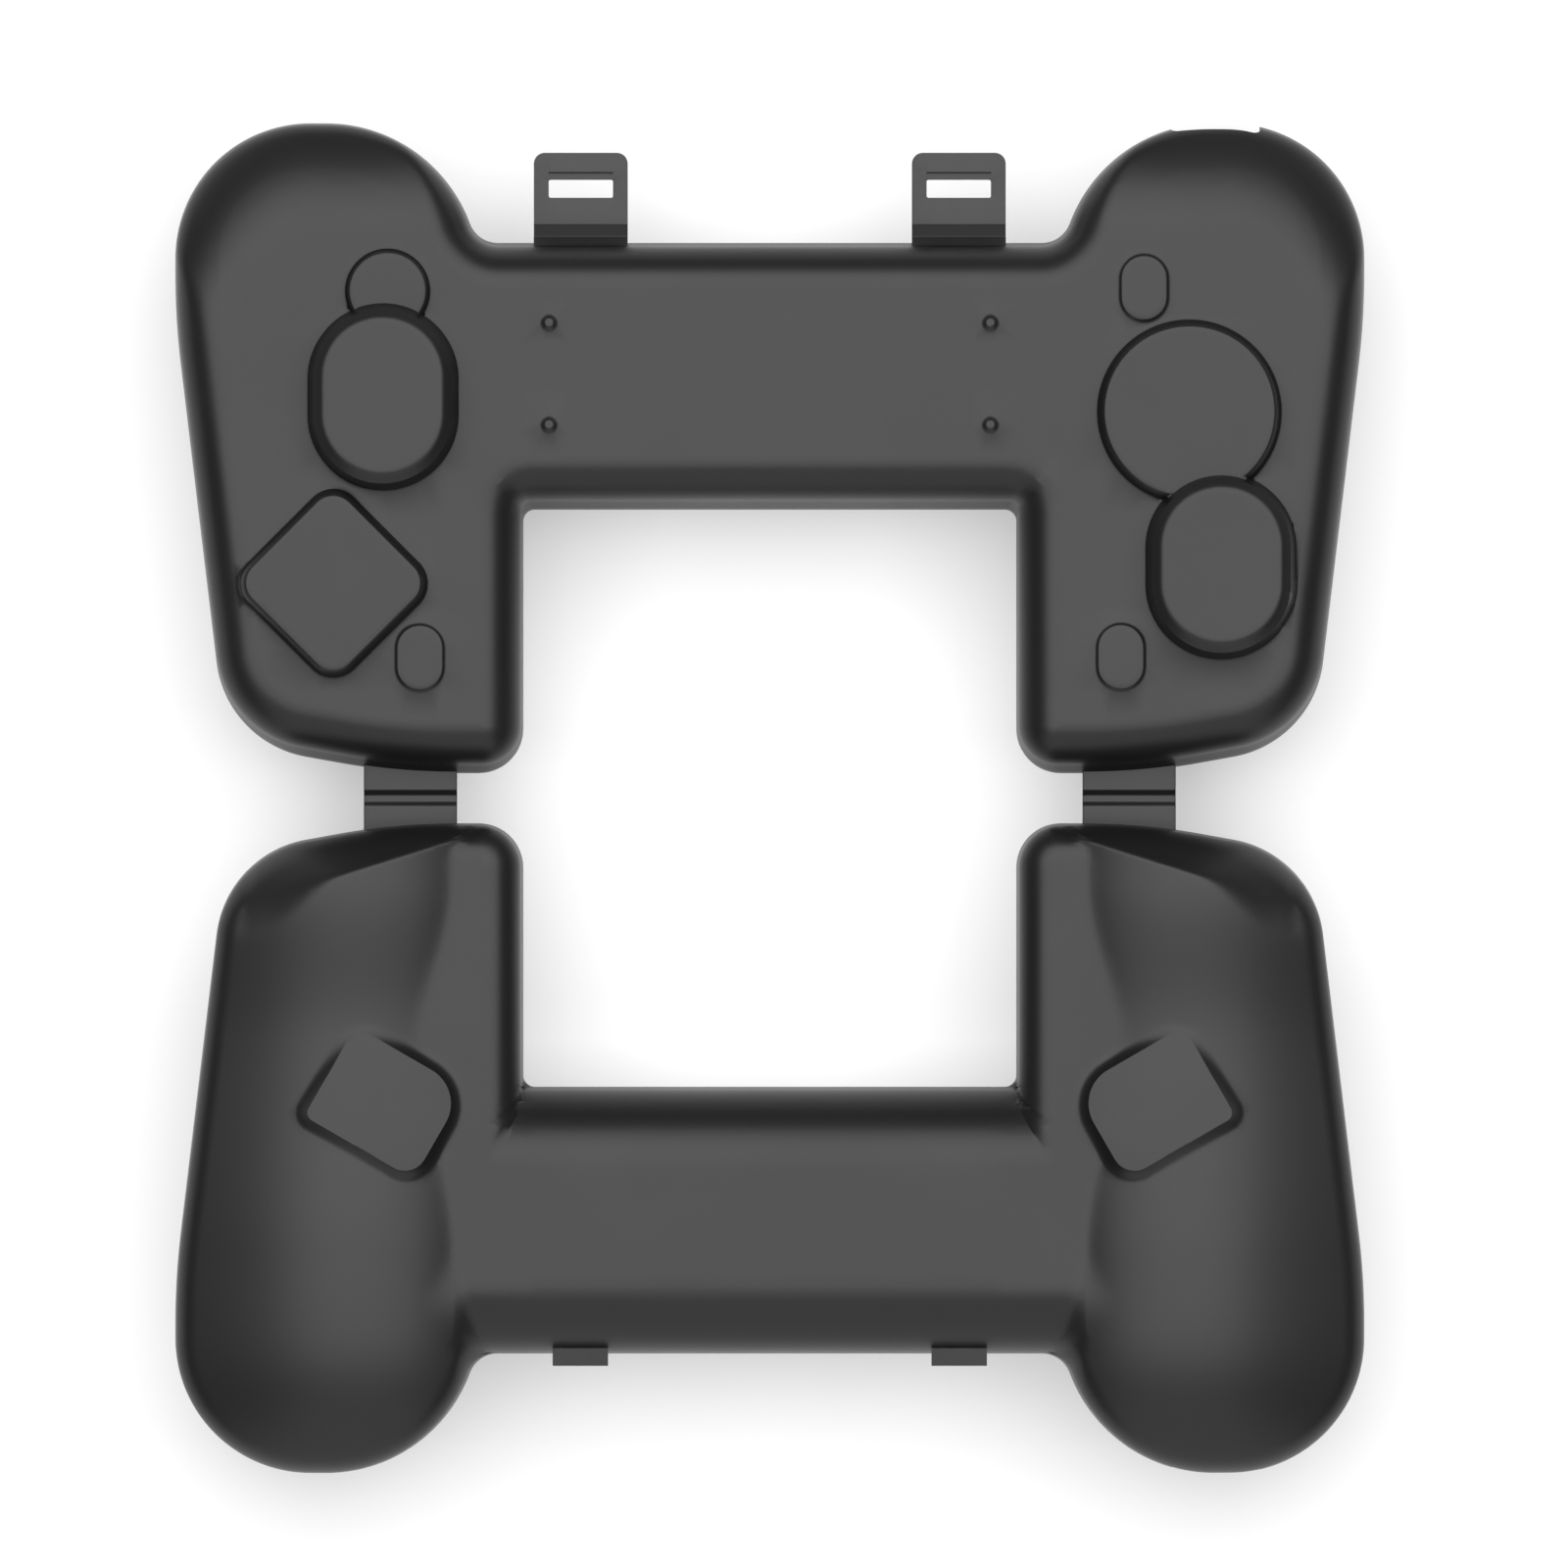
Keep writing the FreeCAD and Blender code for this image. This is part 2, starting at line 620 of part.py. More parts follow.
def rectangle(body, name, low_x, low_y, width, length, level=None):
    """Rectangle sketch on the body's XY plane, with every size tied to the sheet."""
    sketch = body.newObject("Sketcher::SketchObject", name)
    sketch.AttachmentSupport = [(origin_plane(body, "XY_Plane"), "")]
    sketch.MapMode = "FlatFace"
    if level:
        sketch.setExpression(".AttachmentOffset.Base.z", level)
    points = [Vector(1, 1, 0), Vector(3, 1, 0), Vector(3, 4, 0), Vector(1, 4, 0)]
    for index in range(4):
        sketch.addGeometry(Part.LineSegment(points[index], points[(index + 1) % 4]))
    for index in range(4):
        sketch.addConstraint(Sketcher.Constraint("Coincident", index, 2, (index + 1) % 4, 1))
    for index, kind in enumerate(("Horizontal", "Vertical", "Horizontal", "Vertical")):
        sketch.addConstraint(Sketcher.Constraint(kind, index))
    spans = [
        ("DistanceX", (0, 1, 0, 2), width),
        ("DistanceY", (1, 1, 1, 2), length),
        ("DistanceX", (-1, 1, 0, 1), low_x),
        ("DistanceY", (-1, 1, 0, 1), low_y),
    ]
    for kind, ends, expression in spans:
        if expression is None:
            zero = "Vertical" if kind == "DistanceX" else "Horizontal"
            sketch.addConstraint(Sketcher.Constraint(zero, -1, 1, 0, 1))
            continue
        number = sketch.addConstraint(Sketcher.Constraint(kind, *ends, 1.0))
        sketch.setExpression("Constraints[%d]" % number, expression)
    return sketch


def pad(body, name, sketch, length):
    """Pad a sketch upwards by an expression."""
    feature = body.newObject("PartDesign::Pad", name)
    feature.Profile = sketch
    feature.setExpression("Length", length)
    return feature


def pocket(body, name, sketch, length):
    """Pocket a sketch upwards by an expression."""
    feature = body.newObject("PartDesign::Pocket", name)
    feature.Profile = sketch
    feature.Reversed = True
    feature.setExpression("Length", length)
    return feature


def edge_names(shape, test):
    """Names of the edges whose bounds pass a test."""
    return ["Edge%d" % (index + 1) for index, edge in enumerate(shape.Edges) if test(edge.BoundBox)]


def latch_tab(name, side):
    """Flat latch tab with its slot, lead-in, rounded tip and relieved fold."""
    body = doc.addObject("PartDesign::Body", name)
    body.Label = name
    plate = rectangle(body, name + "_plate", None, None, "Sizes.tab_width", "Sizes.tab_reach - Sizes.root_reach")
    blank = pad(body, name + "_pad", plate, "Sizes.tab_thick")
    slot_x = "(Sizes.tab_width - Sizes.slot_width) / 2"
    slot_low = "Sizes.slot_at - Sizes.root_reach - Sizes.slot_length / 2"
    lead_low = "Sizes.slot_at - Sizes.root_reach + Sizes.slot_length / 2"
    slot = rectangle(body, name + "_slot_sketch", slot_x, slot_low, "Sizes.slot_width", "Sizes.slot_length")
    doc.recompute()
    full = blank.Shape.Volume
    cut = pocket(body, name + "_slot", slot, "Sizes.tab_thick")
    lead = rectangle(body, name + "_lead_sketch", slot_x, lead_low, "Sizes.slot_width", "Sizes.lead_length",
                     "Sizes.tab_thick - Sizes.lead_depth")
    ramp = pocket(body, name + "_lead", lead, "Sizes.lead_depth")
    doc.recompute()
    if not ramp.Shape.Volume < cut.Shape.Volume < full:
        raise RuntimeError("a pocket of %s cuts nothing" % name)
    tip = tab_reach - root_reach
    corners = edge_names(ramp.Shape, lambda b: b.ZLength > tab_thick * 0.9 and b.YMin > tip - 1e-4)
    rounds = body.newObject("PartDesign::Fillet", name + "_tip")
    rounds.Base = (ramp, corners)
    rounds.setExpression("Radius", "Sizes.tab_radius")
    doc.recompute()
    fold = edge_names(rounds.Shape, lambda b: b.YMax < 1e-4 and b.ZMin > tab_thick - 1e-4)
    relief = body.newObject("PartDesign::Chamfer", name + "_relief")
    relief.Base = (rounds, fold)
    relief.setExpression("Size", "Sizes.tab_thick / 2")
    body.Tip = relief
    middle = "Sizes.tab_offset" if side > 0 else "-Sizes.tab_offset"
    bind(body, Placement__Base__x=middle + " - Sizes.tab_width / 2")
    bind(body, Placement__Base__y=BAR_FAR + " + Sizes.root_reach")
    return body


def latch_root(name, side):
    """Fixed flange of a latch tab with its hollow up the bar's wall."""
    middle = "Sizes.tab_offset" if side > 0 else "-Sizes.tab_offset"
    low_x = middle + " - Sizes.tab_width / 2"
    flange = bound_box(name + "_flange", "Sizes.tab_width", "Sizes.root_reach", "Sizes.tab_thick / 2",
                       low_x, BAR_FAR, "0")
    gusset = doc.addObject("Part::Wedge", name + "_gusset")
    bind(gusset, Xmin="0", Xmax="Sizes.tab_width", X2min="0", X2max="Sizes.tab_width")
    bind(gusset, Ymin="0", Ymax="Sizes.root_reach")
    bind(gusset, Zmin="0", Zmax="Sizes.tab_thick / 2 + Sizes.root_cove", Z2min="0", Z2max="Sizes.tab_thick / 2")
    bind(gusset, Placement__Base__x=low_x, Placement__Base__y=BAR_FAR)
    root = doc.addObject("Part::MultiFuse", name)
    root.Shapes = [flange, gusset]
    root.Refine = True
    root.Label = name
    return root


def strap_half(name, side, front, shell_block):
    """Half of a folding strap: a leaf against its shell and half of the film."""
    middle = "Sizes.window_width / 2 + Sizes.strap_inset"
    low_x = middle + " - Sizes.strap_width / 2" if side > 0 else "-(" + middle + ") - Sizes.strap_width / 2"
    reach = "Sizes.shoulder_gap + 4 - Sizes.film_half"
    leaf_y = "Sizes.film_half" if front else "-(Sizes.shoulder_gap + 4)"
    film_y = "0" if front else "-Sizes.film_half"
    leaf = bound_box(name + "_leaf", "Sizes.strap_width", reach, "Sizes.strap_thick", low_x, leaf_y, "0")
    film = bound_box(name + "_film", "Sizes.strap_width", "Sizes.film_half", "Sizes.film_thick", low_x, film_y, "0")
    joined = doc.addObject("Part::MultiFuse", name + "_joined")
    joined.Shapes = [leaf, film]
    strap = doc.addObject("Part::Cut", name)
    strap.Base = joined
    strap.Tool = shell_block
    strap.Label = name
    return strap


def bar_catch(name, side, bar_block):
    """Wedge on the rear bar that a latch slot snaps over."""
    middle = "Sizes.tab_offset" if side > 0 else "-Sizes.tab_offset"
    inner = "3"
    half = "(Sizes.slot_length / 2 - Sizes.catch_gap)"
    level = "(Sizes.slot_at - Sizes.root_reach)"
    wedge = doc.addObject("Part::Wedge", name + "_wedge")
    bind(wedge, Xmin="0", Xmax="Sizes.catch_width", X2min="0", X2max="Sizes.catch_width")
    bind(wedge, Ymin="0", Ymax="Sizes.catch_reach + " + inner)
    bind(wedge, Zmin="0", Zmax="2 * " + half, Z2min=half + " * 0.6", Z2max=half + " * 1.5")
    bind(wedge, Placement__Base__x=middle + " + Sizes.catch_width / 2")
    bind(wedge, Placement__Base__y="-(" + BAR_FAR + ") + " + inner)
    bind(wedge, Placement__Base__z=level + " - " + half)
    wedge.Placement = Placement(wedge.Placement.Base, Rotation(Vector(0, 0, 1), 180))
    catch = doc.addObject("Part::Cut", name)
    catch.Base = wedge
    catch.Tool = bar_block
    catch.Label = name
    return catch


BAR_FAR = "(Sizes.shoulder_gap + Sizes.window_depth + Sizes.bar_depth)"

front_block = hold("front_block", prism(outline_corners(), -1.0, front_height))
rear_block = hold("rear_block", mirrored(prism(outline_corners(), -1.0, front_height), Vector(0, 1, 0)))
bar_block = hold("bar_block", mirrored(rear_bar(0.0), Vector(0, 1, 0)))

parts = [hold("front_shell", front_shell_shape()), hold("rear_shell", rear_shell_shape())]
for side_name, side in (("left", -1), ("right", 1)):
    parts.append(strap_half("front_strap_" + side_name, side, True, front_block))
    parts.append(strap_half("rear_strap_" + side_name, side, False, rear_block))
    parts.append(latch_root("latch_root_" + side_name, side))
    parts.append(latch_tab("latch_tab_" + side_name, side))
    parts.append(bar_catch("catch_" + side_name, side, bar_block))
doc.recompute()

for item in doc.Objects:
    if "Invalid" in item.State or "Error" in item.State:
        raise RuntimeError("%s did not recompute: %s" % (item.Name, item.State))
for part in parts:
    if part.Shape.isNull() or not part.Shape.isValid():
        raise RuntimeError("%s has no valid shape" % part.Label)
os.makedirs("parts", exist_ok=True)
for part in parts:
    bounds = part.Shape.BoundBox
    print(part.Label, len(part.Shape.Solids), round(part.Shape.Volume, 1),
          [round(v, 2) for v in (bounds.XMin, bounds.XMax, bounds.YMin, bounds.YMax, bounds.ZMin, bounds.ZMax)])
    part.Shape.exportStep("parts/%s.step" % part.Label)
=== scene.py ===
"""Folding hard cover for a handheld game controller, opened flat: the looks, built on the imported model.

The meshes are drawn in millimetres in the frame of the model (X along the bar, Y from the rear shell to the
front shell, Z up) and scaled to metres when they become objects.
"""

import logging
import math
from dataclasses import dataclass, field, replace
from enum import Enum
from typing import Callable, Iterable, Sequence

import bmesh
import bpy
import numpy as np
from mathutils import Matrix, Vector
from mathutils.geometry import delaunay_2d_cdt


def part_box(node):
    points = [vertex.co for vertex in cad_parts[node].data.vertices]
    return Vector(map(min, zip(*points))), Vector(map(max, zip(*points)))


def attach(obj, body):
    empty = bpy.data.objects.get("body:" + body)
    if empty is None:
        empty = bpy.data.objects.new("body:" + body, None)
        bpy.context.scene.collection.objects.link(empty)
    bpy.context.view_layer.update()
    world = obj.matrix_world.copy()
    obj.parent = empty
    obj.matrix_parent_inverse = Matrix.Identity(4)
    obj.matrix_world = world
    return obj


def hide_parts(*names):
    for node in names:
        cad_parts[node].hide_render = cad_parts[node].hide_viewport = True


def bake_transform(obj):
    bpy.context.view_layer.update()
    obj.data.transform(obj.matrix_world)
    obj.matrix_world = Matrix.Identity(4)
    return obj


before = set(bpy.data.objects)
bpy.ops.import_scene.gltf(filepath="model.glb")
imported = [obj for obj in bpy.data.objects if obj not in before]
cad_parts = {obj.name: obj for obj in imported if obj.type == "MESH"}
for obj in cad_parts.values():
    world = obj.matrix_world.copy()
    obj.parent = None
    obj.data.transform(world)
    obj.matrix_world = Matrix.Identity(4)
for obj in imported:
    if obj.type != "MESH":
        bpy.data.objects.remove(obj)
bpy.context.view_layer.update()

log = logging.getLogger("cover")

MM = 0.001
MERGE_MM = 0.02
ARC_STEP = 0.16
LEAST_RADIUS = 0.03
PLACES_AT_ONCE = 4000
TRIANGULATION_MM = 1e-4
PHOTO_FRAME_MM = 244.0
PHOTO_CENTRE_MM = (2.21, 2.21)


class Side(Enum):
    """Which side of the middle a piece lies on, seen from the front shell's outside."""

    LEFT = -1
    RIGHT = 1


class Skin(Enum):
    """Outer or inner skin of a shell wall."""

    OUTER = 0
    INNER = 1


def box_mm(node: str) -> tuple[np.ndarray, np.ndarray]:
    """Give a CAD node's lowest and highest corners in millimetres.

    Args:
        node: name of the CAD node.

    Returns:
        The two corners.
    """
    low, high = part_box(node)
    return np.array(low) / MM, np.array(high) / MM


def ease(share: np.ndarray) -> np.ndarray:
    """Smooth step from 0 to 1."""
    share = np.clip(share, 0.0, 1.0)
    return share * share * (3.0 - 2.0 * share)


def smooth_min(first: np.ndarray, second: np.ndarray, soft: np.ndarray | float) -> np.ndarray:
    """Lower of two heights, with a rounded change from one to the other.

    Args:
        first: heights of one surface.
        second: heights of the other surface.
        soft: height over which the change is spread.

    Returns:
        The blended heights.
    """
    share = np.clip(0.5 + 0.5 * (second - first) / soft, 0.0, 1.0)
    return second + (first - second) * share - soft * share * (1.0 - share)


def quarter_roll(inside: np.ndarray, radius: float) -> np.ndarray:
    """How far a quarter-round edge lies under its flat at a distance inside the edge.

    Args:
        inside: distance from the edge.
        radius: radius of the round.

    Returns:
        The fall under the flat, zero beyond the radius.
    """
    reach = radius - np.clip(inside, 0.0, radius)
    return radius - np.sqrt(np.maximum(radius * radius - reach * reach, 0.0))


def line_distance(x: np.ndarray, y: np.ndarray, points: np.ndarray, closed: bool) -> np.ndarray:
    """Distance of places from a chain of points.

    Args:
        x: x of each place.
        y: y of each place.
        points: the chain's x, y rows.
        closed: whether the last point joins the first.

    Returns:
        The distances.
    """
    a = points if closed else points[:-1]
    b = np.roll(points, -1, axis=0) if closed else points[1:]
    way = b - a
    length2 = np.maximum((way ** 2).sum(1), 1e-12)
    result = np.empty(len(x))
    for start in range(0, len(x), PLACES_AT_ONCE):
        part = slice(start, start + PLACES_AT_ONCE)
        px = x[part, None] - a[:, 0]
        py = y[part, None] - a[:, 1]
        share = np.clip((px * way[:, 0] + py * way[:, 1]) / length2, 0.0, 1.0)
        px -= share * way[:, 0]
        py -= share * way[:, 1]
        result[part] = np.sqrt((px * px + py * py).min(1))
    return result


@dataclass(frozen=True)
class Corner:
    """One corner of an outline before rounding.

    A corner with tighten above zero loses radius towards the inside, so that bands meet there in a mitre.
    Lean is how far the wall on the side after the corner leans inwards from its rim to its rolled edge.
    """

    x: float
    y: float
    radius: float
    tighten: float = 0.0
    lean: float = 0.0


class Outline:
    """Closed clockwise outline of straight sides and tangent corner arcs."""

    def __init__(self, corners: Sequence[Corner], step: float = 0.9) -> None:
        """Keep the corners and share out the points along the sides and arcs.

        Args:
            corners: corner points, clockwise seen from above.
            step: longest distance between two points.
        """
        self.corners = list(corners)
        self.step = step
        starts, ends, _ = self._tangents(0.0)
        count = len(self.corners)
        self.arc_counts = []
        self.side_counts = []
        for index in range(count):
            turn = self._turn(index)
            arc = abs(turn) * self.corners[index].radius
            self.arc_counts.append(max(3, math.ceil(abs(turn) / ARC_STEP), math.ceil(arc / step)))
            side = (starts[(index + 1) % count] - ends[index]).length
            self.side_counts.append(max(1, math.ceil(side / (2.0 * step))))
        self.polyline = self.ring(0.0)

    def _way(self, index: int) -> Vector:
        """Direction of the side that leaves a corner."""
        here = self.corners[index]
        there = self.corners[(index + 1) % len(self.corners)]
        return Vector((there.x - here.x, there.y - here.y)).normalized()

    def _turn(self, index: int) -> float:
        """Angle turned at a corner, negative for a convex one."""
        way_in = self._way(index - 1)
        way_out = self._way(index)
        cross = way_in.x * way_out.y - way_in.y * way_out.x
        return math.atan2(cross, way_in.dot(way_out))

    def _tangents(self, inset: float, leaning: float = 1.0) -> tuple[
            list[Vector], list[Vector], list[float]]:
        """Give the points where each corner's arc starts and ends, and its radius, at an inset."""
        starts, ends, radii = [], [], []
        for index, corner in enumerate(self.corners):
            way_in = self._way(index - 1)
            way_out = self._way(index)
            normal_in = Vector((way_in.y, -way_in.x))
            normal_out = Vector((way_out.y, -way_out.x))
            before = inset + leaning * self.corners[index - 1].lean
            after = inset + leaning * corner.lean
            middle = (before + after) / 2.0
            cosine = normal_in.dot(normal_out)
            shift = (normal_in + normal_out) * (middle / (1.0 + cosine))
            if cosine < 0.98:
                shift += (normal_in - normal_out) * ((before - after) / 2.0 / (1.0 - cosine))
            point = Vector((corner.x, corner.y)) + shift
            turn = self._turn(index)
            if corner.tighten:
                radius = corner.radius - corner.tighten * middle
            elif turn < 0:
                radius = corner.radius - middle
            else:
                radius = corner.radius + middle
            radius = max(radius, LEAST_RADIUS)
            reach = radius * math.tan(abs(turn) / 2.0)
            starts.append(point - way_in * reach)
            ends.append(point + way_out * reach)
            radii.append(radius)
        return starts, ends, radii

    def ring(self, inset: float, leaning: float = 1.0) -> np.ndarray:
        """Points of the outline moved inwards, always as many and in the same order.

        Args:
            inset: distance inwards, negative for outwards.
            leaning: share of the walls' lean, 0 at their rim and 1 at their rolled edge.

        Returns:
            Array of x, y rows.
        """
        starts, ends, radii = self._tangents(inset, leaning)
        points = []
        count = len(self.corners)
        for index in range(count):
            turn = self._turn(index)
            way_in = self._way(index - 1)
            hand = 1.0 if turn > 0 else -1.0
            to_centre = Vector((-way_in.y, way_in.x)) * hand
            centre = starts[index] + to_centre * radii[index]
            spoke = starts[index] - centre
            for k in range(self.arc_counts[index]):
                angle = turn * k / self.arc_counts[index]
                cos_a, sin_a = math.cos(angle), math.sin(angle)
                points.append((centre.x + spoke.x * cos_a - spoke.y * sin_a,
                               centre.y + spoke.x * sin_a + spoke.y * cos_a))
            following = starts[(index + 1) % count]
            for k in range(self.side_counts[index]):
                place = ends[index].lerp(following, k / self.side_counts[index])
                points.append((place.x, place.y))
        return np.array(points)

    def inside(self, x: np.ndarray, y: np.ndarray) -> np.ndarray:
        """Signed distance inside the outline, negative outside.

        Args:
            x: x of each place.
            y: y of each place.

        Returns:
            The distances.
        """
        a = self.polyline
        b = np.roll(a, -1, axis=0)
        rise = b[:, 1] - a[:, 1]
        slope = (b[:, 0] - a[:, 0]) / np.where(np.abs(rise) > 1e-12, rise, 1e-12)
        odd = np.empty(len(x), bool)
        for start in range(0, len(x), PLACES_AT_ONCE):
            part = slice(start, start + PLACES_AT_ONCE)
            py = y[part, None]
            above = (a[:, 1] > py) != (b[:, 1] > py)
            crossing = x[part, None] < a[:, 0] + (py - a[:, 1]) * slope
            odd[part] = (above & crossing).sum(1) % 2 == 1
        distance = line_distance(x, y, a, True)
        return np.where(odd, distance, -distance)


def stadium(x: float, y: float, width: float, length: float) -> Outline:
    """Upright stadium, or a circle where width and length agree."""
    half_w, half_l = width / 2.0, length / 2.0
    radius = half_w * 0.9999
    return Outline([
        Corner(x - half_w, y + half_l, radius), Corner(x + half_w, y + half_l, radius),
        Corner(x + half_w, y - half_l, radius), Corner(x - half_w, y - half_l, radius),
    ], step=0.7)


def turned_box(x: float, y: float, length: float, width: float, turn: float,
               radii: Sequence[float]) -> Outline:
    """Rectangle turned in plan, with its own radius at each corner.

    Args:
        x: middle.
        y: middle.
        length: size along the turned axis.
        width: size across it.
        turn: angle of the axis in degrees.
        radii: corner radii, clockwise from the far left one.

    Returns:
        The outline.
    """
    along = Vector((math.cos(math.radians(turn)), math.sin(math.radians(turn))))
    across = Vector((-along.y, along.x))
    corners = []
    for (p, q), radius in zip(((-1, 1), (1, 1), (1, -1), (-1, -1)), radii):
        place = along * (p * length / 2.0) + across * (q * width / 2.0)
        corners.append(Corner(x + place.x, y + place.y, radius))
    return Outline(corners, step=0.7)


@dataclass(frozen=True)
class RoomStyle:
    """Section of a raised room: its rise over the face, the run of its wall, and the bevel around its top."""

    rise: float
    wall_run: float
    bevel: float
    bevel_drop: float
    soft: float = 0.25


STICK_ROOM = RoomStyle(rise=7.0, wall_run=1.0, bevel=1.4, bevel_drop=1.15, soft=0.45)
KEY_ROOM = RoomStyle(rise=3.0, wall_run=0.5, bevel=0.6, bevel_drop=0.7)
DISC_ROOM = RoomStyle(rise=1.2, wall_run=0.3, bevel=0.4, bevel_drop=0.4)
BUTTON_ROOM = RoomStyle(rise=0.3, wall_run=0.16, bevel=0.2, bevel_drop=0.15, soft=0.1)
STUD = RoomStyle(rise=0.4, wall_run=0.3, bevel=0.3, bevel_drop=0.2, soft=0.1)


@dataclass
class Room:
    """Raised room of a shell: a steep wall around a plan outline, then a bevel up to a flat top."""

    outline: Outline
    foot: float
    style: RoomStyle
    covered_by: list["Room"] = field(default_factory=list)

    def heights(self, level: np.ndarray, inside: np.ndarray, inset: float) -> np.ndarray:
        """Height of the shell's surface with the room on it.

        Args:
            level: height of the surface without it.
            inside: distance inside the room's outline.
            inset: wall thickness for the inner skin, 0 for the outer one.

        Returns:
            The heights.
        """
        style = self.style
        along = inside - inset
        start = self.foot - inset
        top = start + style.rise
        steep = (style.rise - style.bevel_drop) / style.wall_run
        slant = top - style.bevel_drop + (along - style.wall_run) * style.bevel_drop / style.bevel
        capped = smooth_min(slant, np.full(len(level), top), style.soft)
        return np.maximum(level, np.where(along < style.wall_run, start + steep * along, capped))

    def insets(self) -> list[float]:
        """Insets at which the mesh follows the room's outline."""
        run, bevel = self.style.wall_run, self.style.bevel
        into = [run + bevel * share for share in (0.0, 0.3, 0.6, 0.8, 0.95, 1.1, 1.3)]
        return [-0.3, 0.0, run * 0.5] + into + [run + bevel + 0.9]


@dataclass
class Pad:
    """Raised pad on a grip, whose wall grows out of the grip in a hollow curve up to a calmer top."""

    outline: Outline
    run: float = 2.0
    hollow: float = 1.8
    covered_by: list["Pad"] = field(default_factory=list)

    def heights(self, level: np.ndarray, top: np.ndarray, inside: np.ndarray,
                inset: float) -> np.ndarray:
        """Height of the grip's surface with the pad on it.

        Args:
            level: height of the grip without it.
            top: height of the pad's top.
            inside: distance inside the pad's outline.
            inset: wall thickness for the inner skin, 0 for the outer one.

        Returns:
            The heights.
        """
        share = np.clip((inside - inset) / self.run, 0.0, 1.0) ** self.hollow
        return level + np.maximum(top - inset - level, 0.0) * share * (inside > inset)

    def insets(self) -> list[float]:
        """Insets at which the mesh follows the pad's outline."""
        return [self.run * share for share in (0.0, 0.15, 0.3, 0.45, 0.6, 0.72, 0.84, 0.94, 1.0, 1.08, 1.4)]


class MeshParts:
    """Collects patches of vertices and faces, in millimetres, and makes one object of them."""

    def __init__(self) -> None:
        """Start empty."""
        self.points: list[np.ndarray] = []
        self.faces: list[tuple[int, ...]] = []
        self.count = 0

    def add(self, points: np.ndarray, faces: Iterable[Sequence[int]]) -> None:
        """Add a patch.

        Args:
            points: x, y, z rows.
            faces: vertex numbers within the patch.
        """
        self.points.append(points)
        offset = self.count
        self.faces.extend(tuple(i + offset for i in face) for face in faces)
        self.count += len(points)

    def add_loops(self, loops: Sequence[np.ndarray]) -> None:
        """Join closed rings of equally many points with quads.

        Args:
            loops: rings of x, y, z rows.
        """
        size = len(loops[0])
        faces = []
        for row in range(len(loops) - 1):
            for k in range(size):
                after = (k + 1) % size
                faces.append((row * size + k, row * size + after,
                              (row + 1) * size + after, (row + 1) * size + k))
        self.add(np.concatenate(loops), faces)

    def add_prism(self, profile: np.ndarray, low: float, high: float) -> None:
        """Add a closed prism that runs along X.

        Args:
            profile: y, z rows of its section.
            low: x of its first end.
            high: x of its second end.
        """
        loops = [np.column_stack([np.full(len(profile), x), profile]) for x in (low, high)]
        for loop in loops:
            self.add(loop, [tuple(range(len(profile)))])
        self.add_loops(loops)

    def build(self, name: str, mirror_y: bool = False) -> bpy.types.Object:
        """Make a welded object with outward normals.

        Args:
            name: name of the object.
            mirror_y: turn the piece over to the other side of the fold line.

        Returns:
            The object, linked to the scene.
        """
        points = np.concatenate(self.points)
        if mirror_y:
            points = points * np.array([1.0, -1.0, 1.0])
        mesh = bpy.data.meshes.new(name)
        mesh.from_pydata([tuple(p) for p in points * MM], [], self.faces)
        work = bmesh.new()
        work.from_mesh(mesh)
        bmesh.ops.remove_doubles(work, verts=work.verts, dist=MERGE_MM * MM)
        bmesh.ops.dissolve_degenerate(work, edges=work.edges, dist=1e-7)
        bmesh.ops.recalc_face_normals(work, faces=work.faces)
        work.to_mesh(mesh)
        work.free()
        return link(name, mesh)


def link(name: str, mesh: bpy.types.Mesh) -> bpy.types.Object:
    """Put a mesh into the scene as an object."""
    piece = bpy.data.objects.new(name, mesh)
    bpy.context.scene.collection.objects.link(piece)
    return piece


def smooth(piece: bpy.types.Object, angle: float) -> None:
    """Shade a piece smoothly, with sharp edges over an angle in degrees."""
    mesh = piece.data
    mesh.polygons.foreach_set("use_smooth", [True] * len(mesh.polygons))
    mesh.set_sharp_from_angle(angle=math.radians(angle))


def apply_modifiers(piece: bpy.types.Object) -> None:
    """Turn a piece's modifiers into its mesh."""
    graph = bpy.context.evaluated_depsgraph_get()
    mesh = bpy.data.meshes.new_from_object(piece.evaluated_get(graph))
    piece.modifiers.clear()
    piece.data = mesh


def cut_away(piece: bpy.types.Object, cutter: bpy.types.Object) -> None:
    """Cut one closed mesh out of a piece.

    Args:
        piece: the object that is cut.
        cutter: the object that says what goes, removed afterwards.
    """
    cut = piece.modifiers.new("cut", "BOOLEAN")
    cut.operation = "DIFFERENCE"
    cut.solver = "EXACT"
    cut.object = cutter
    apply_modifiers(piece)
    bpy.data.objects.remove(cutter)


@dataclass(frozen=True)
class WallLean:
    """How far each wall leans inwards between its rim and its rolled edge."""

    far: float = 0.3
    end: float = 0.3
    outer: float = 0.3
    shoulder: float = 0.3
    window: float = 0.3
    near: float = 0.3

    def around(self) -> list[float]:
        """Leans of the sides from the bar's far side round one grip to its near side."""
        return [self.far, self.end, self.end, self.outer, self.outer, self.shoulder, self.shoulder,
                self.window, self.near]


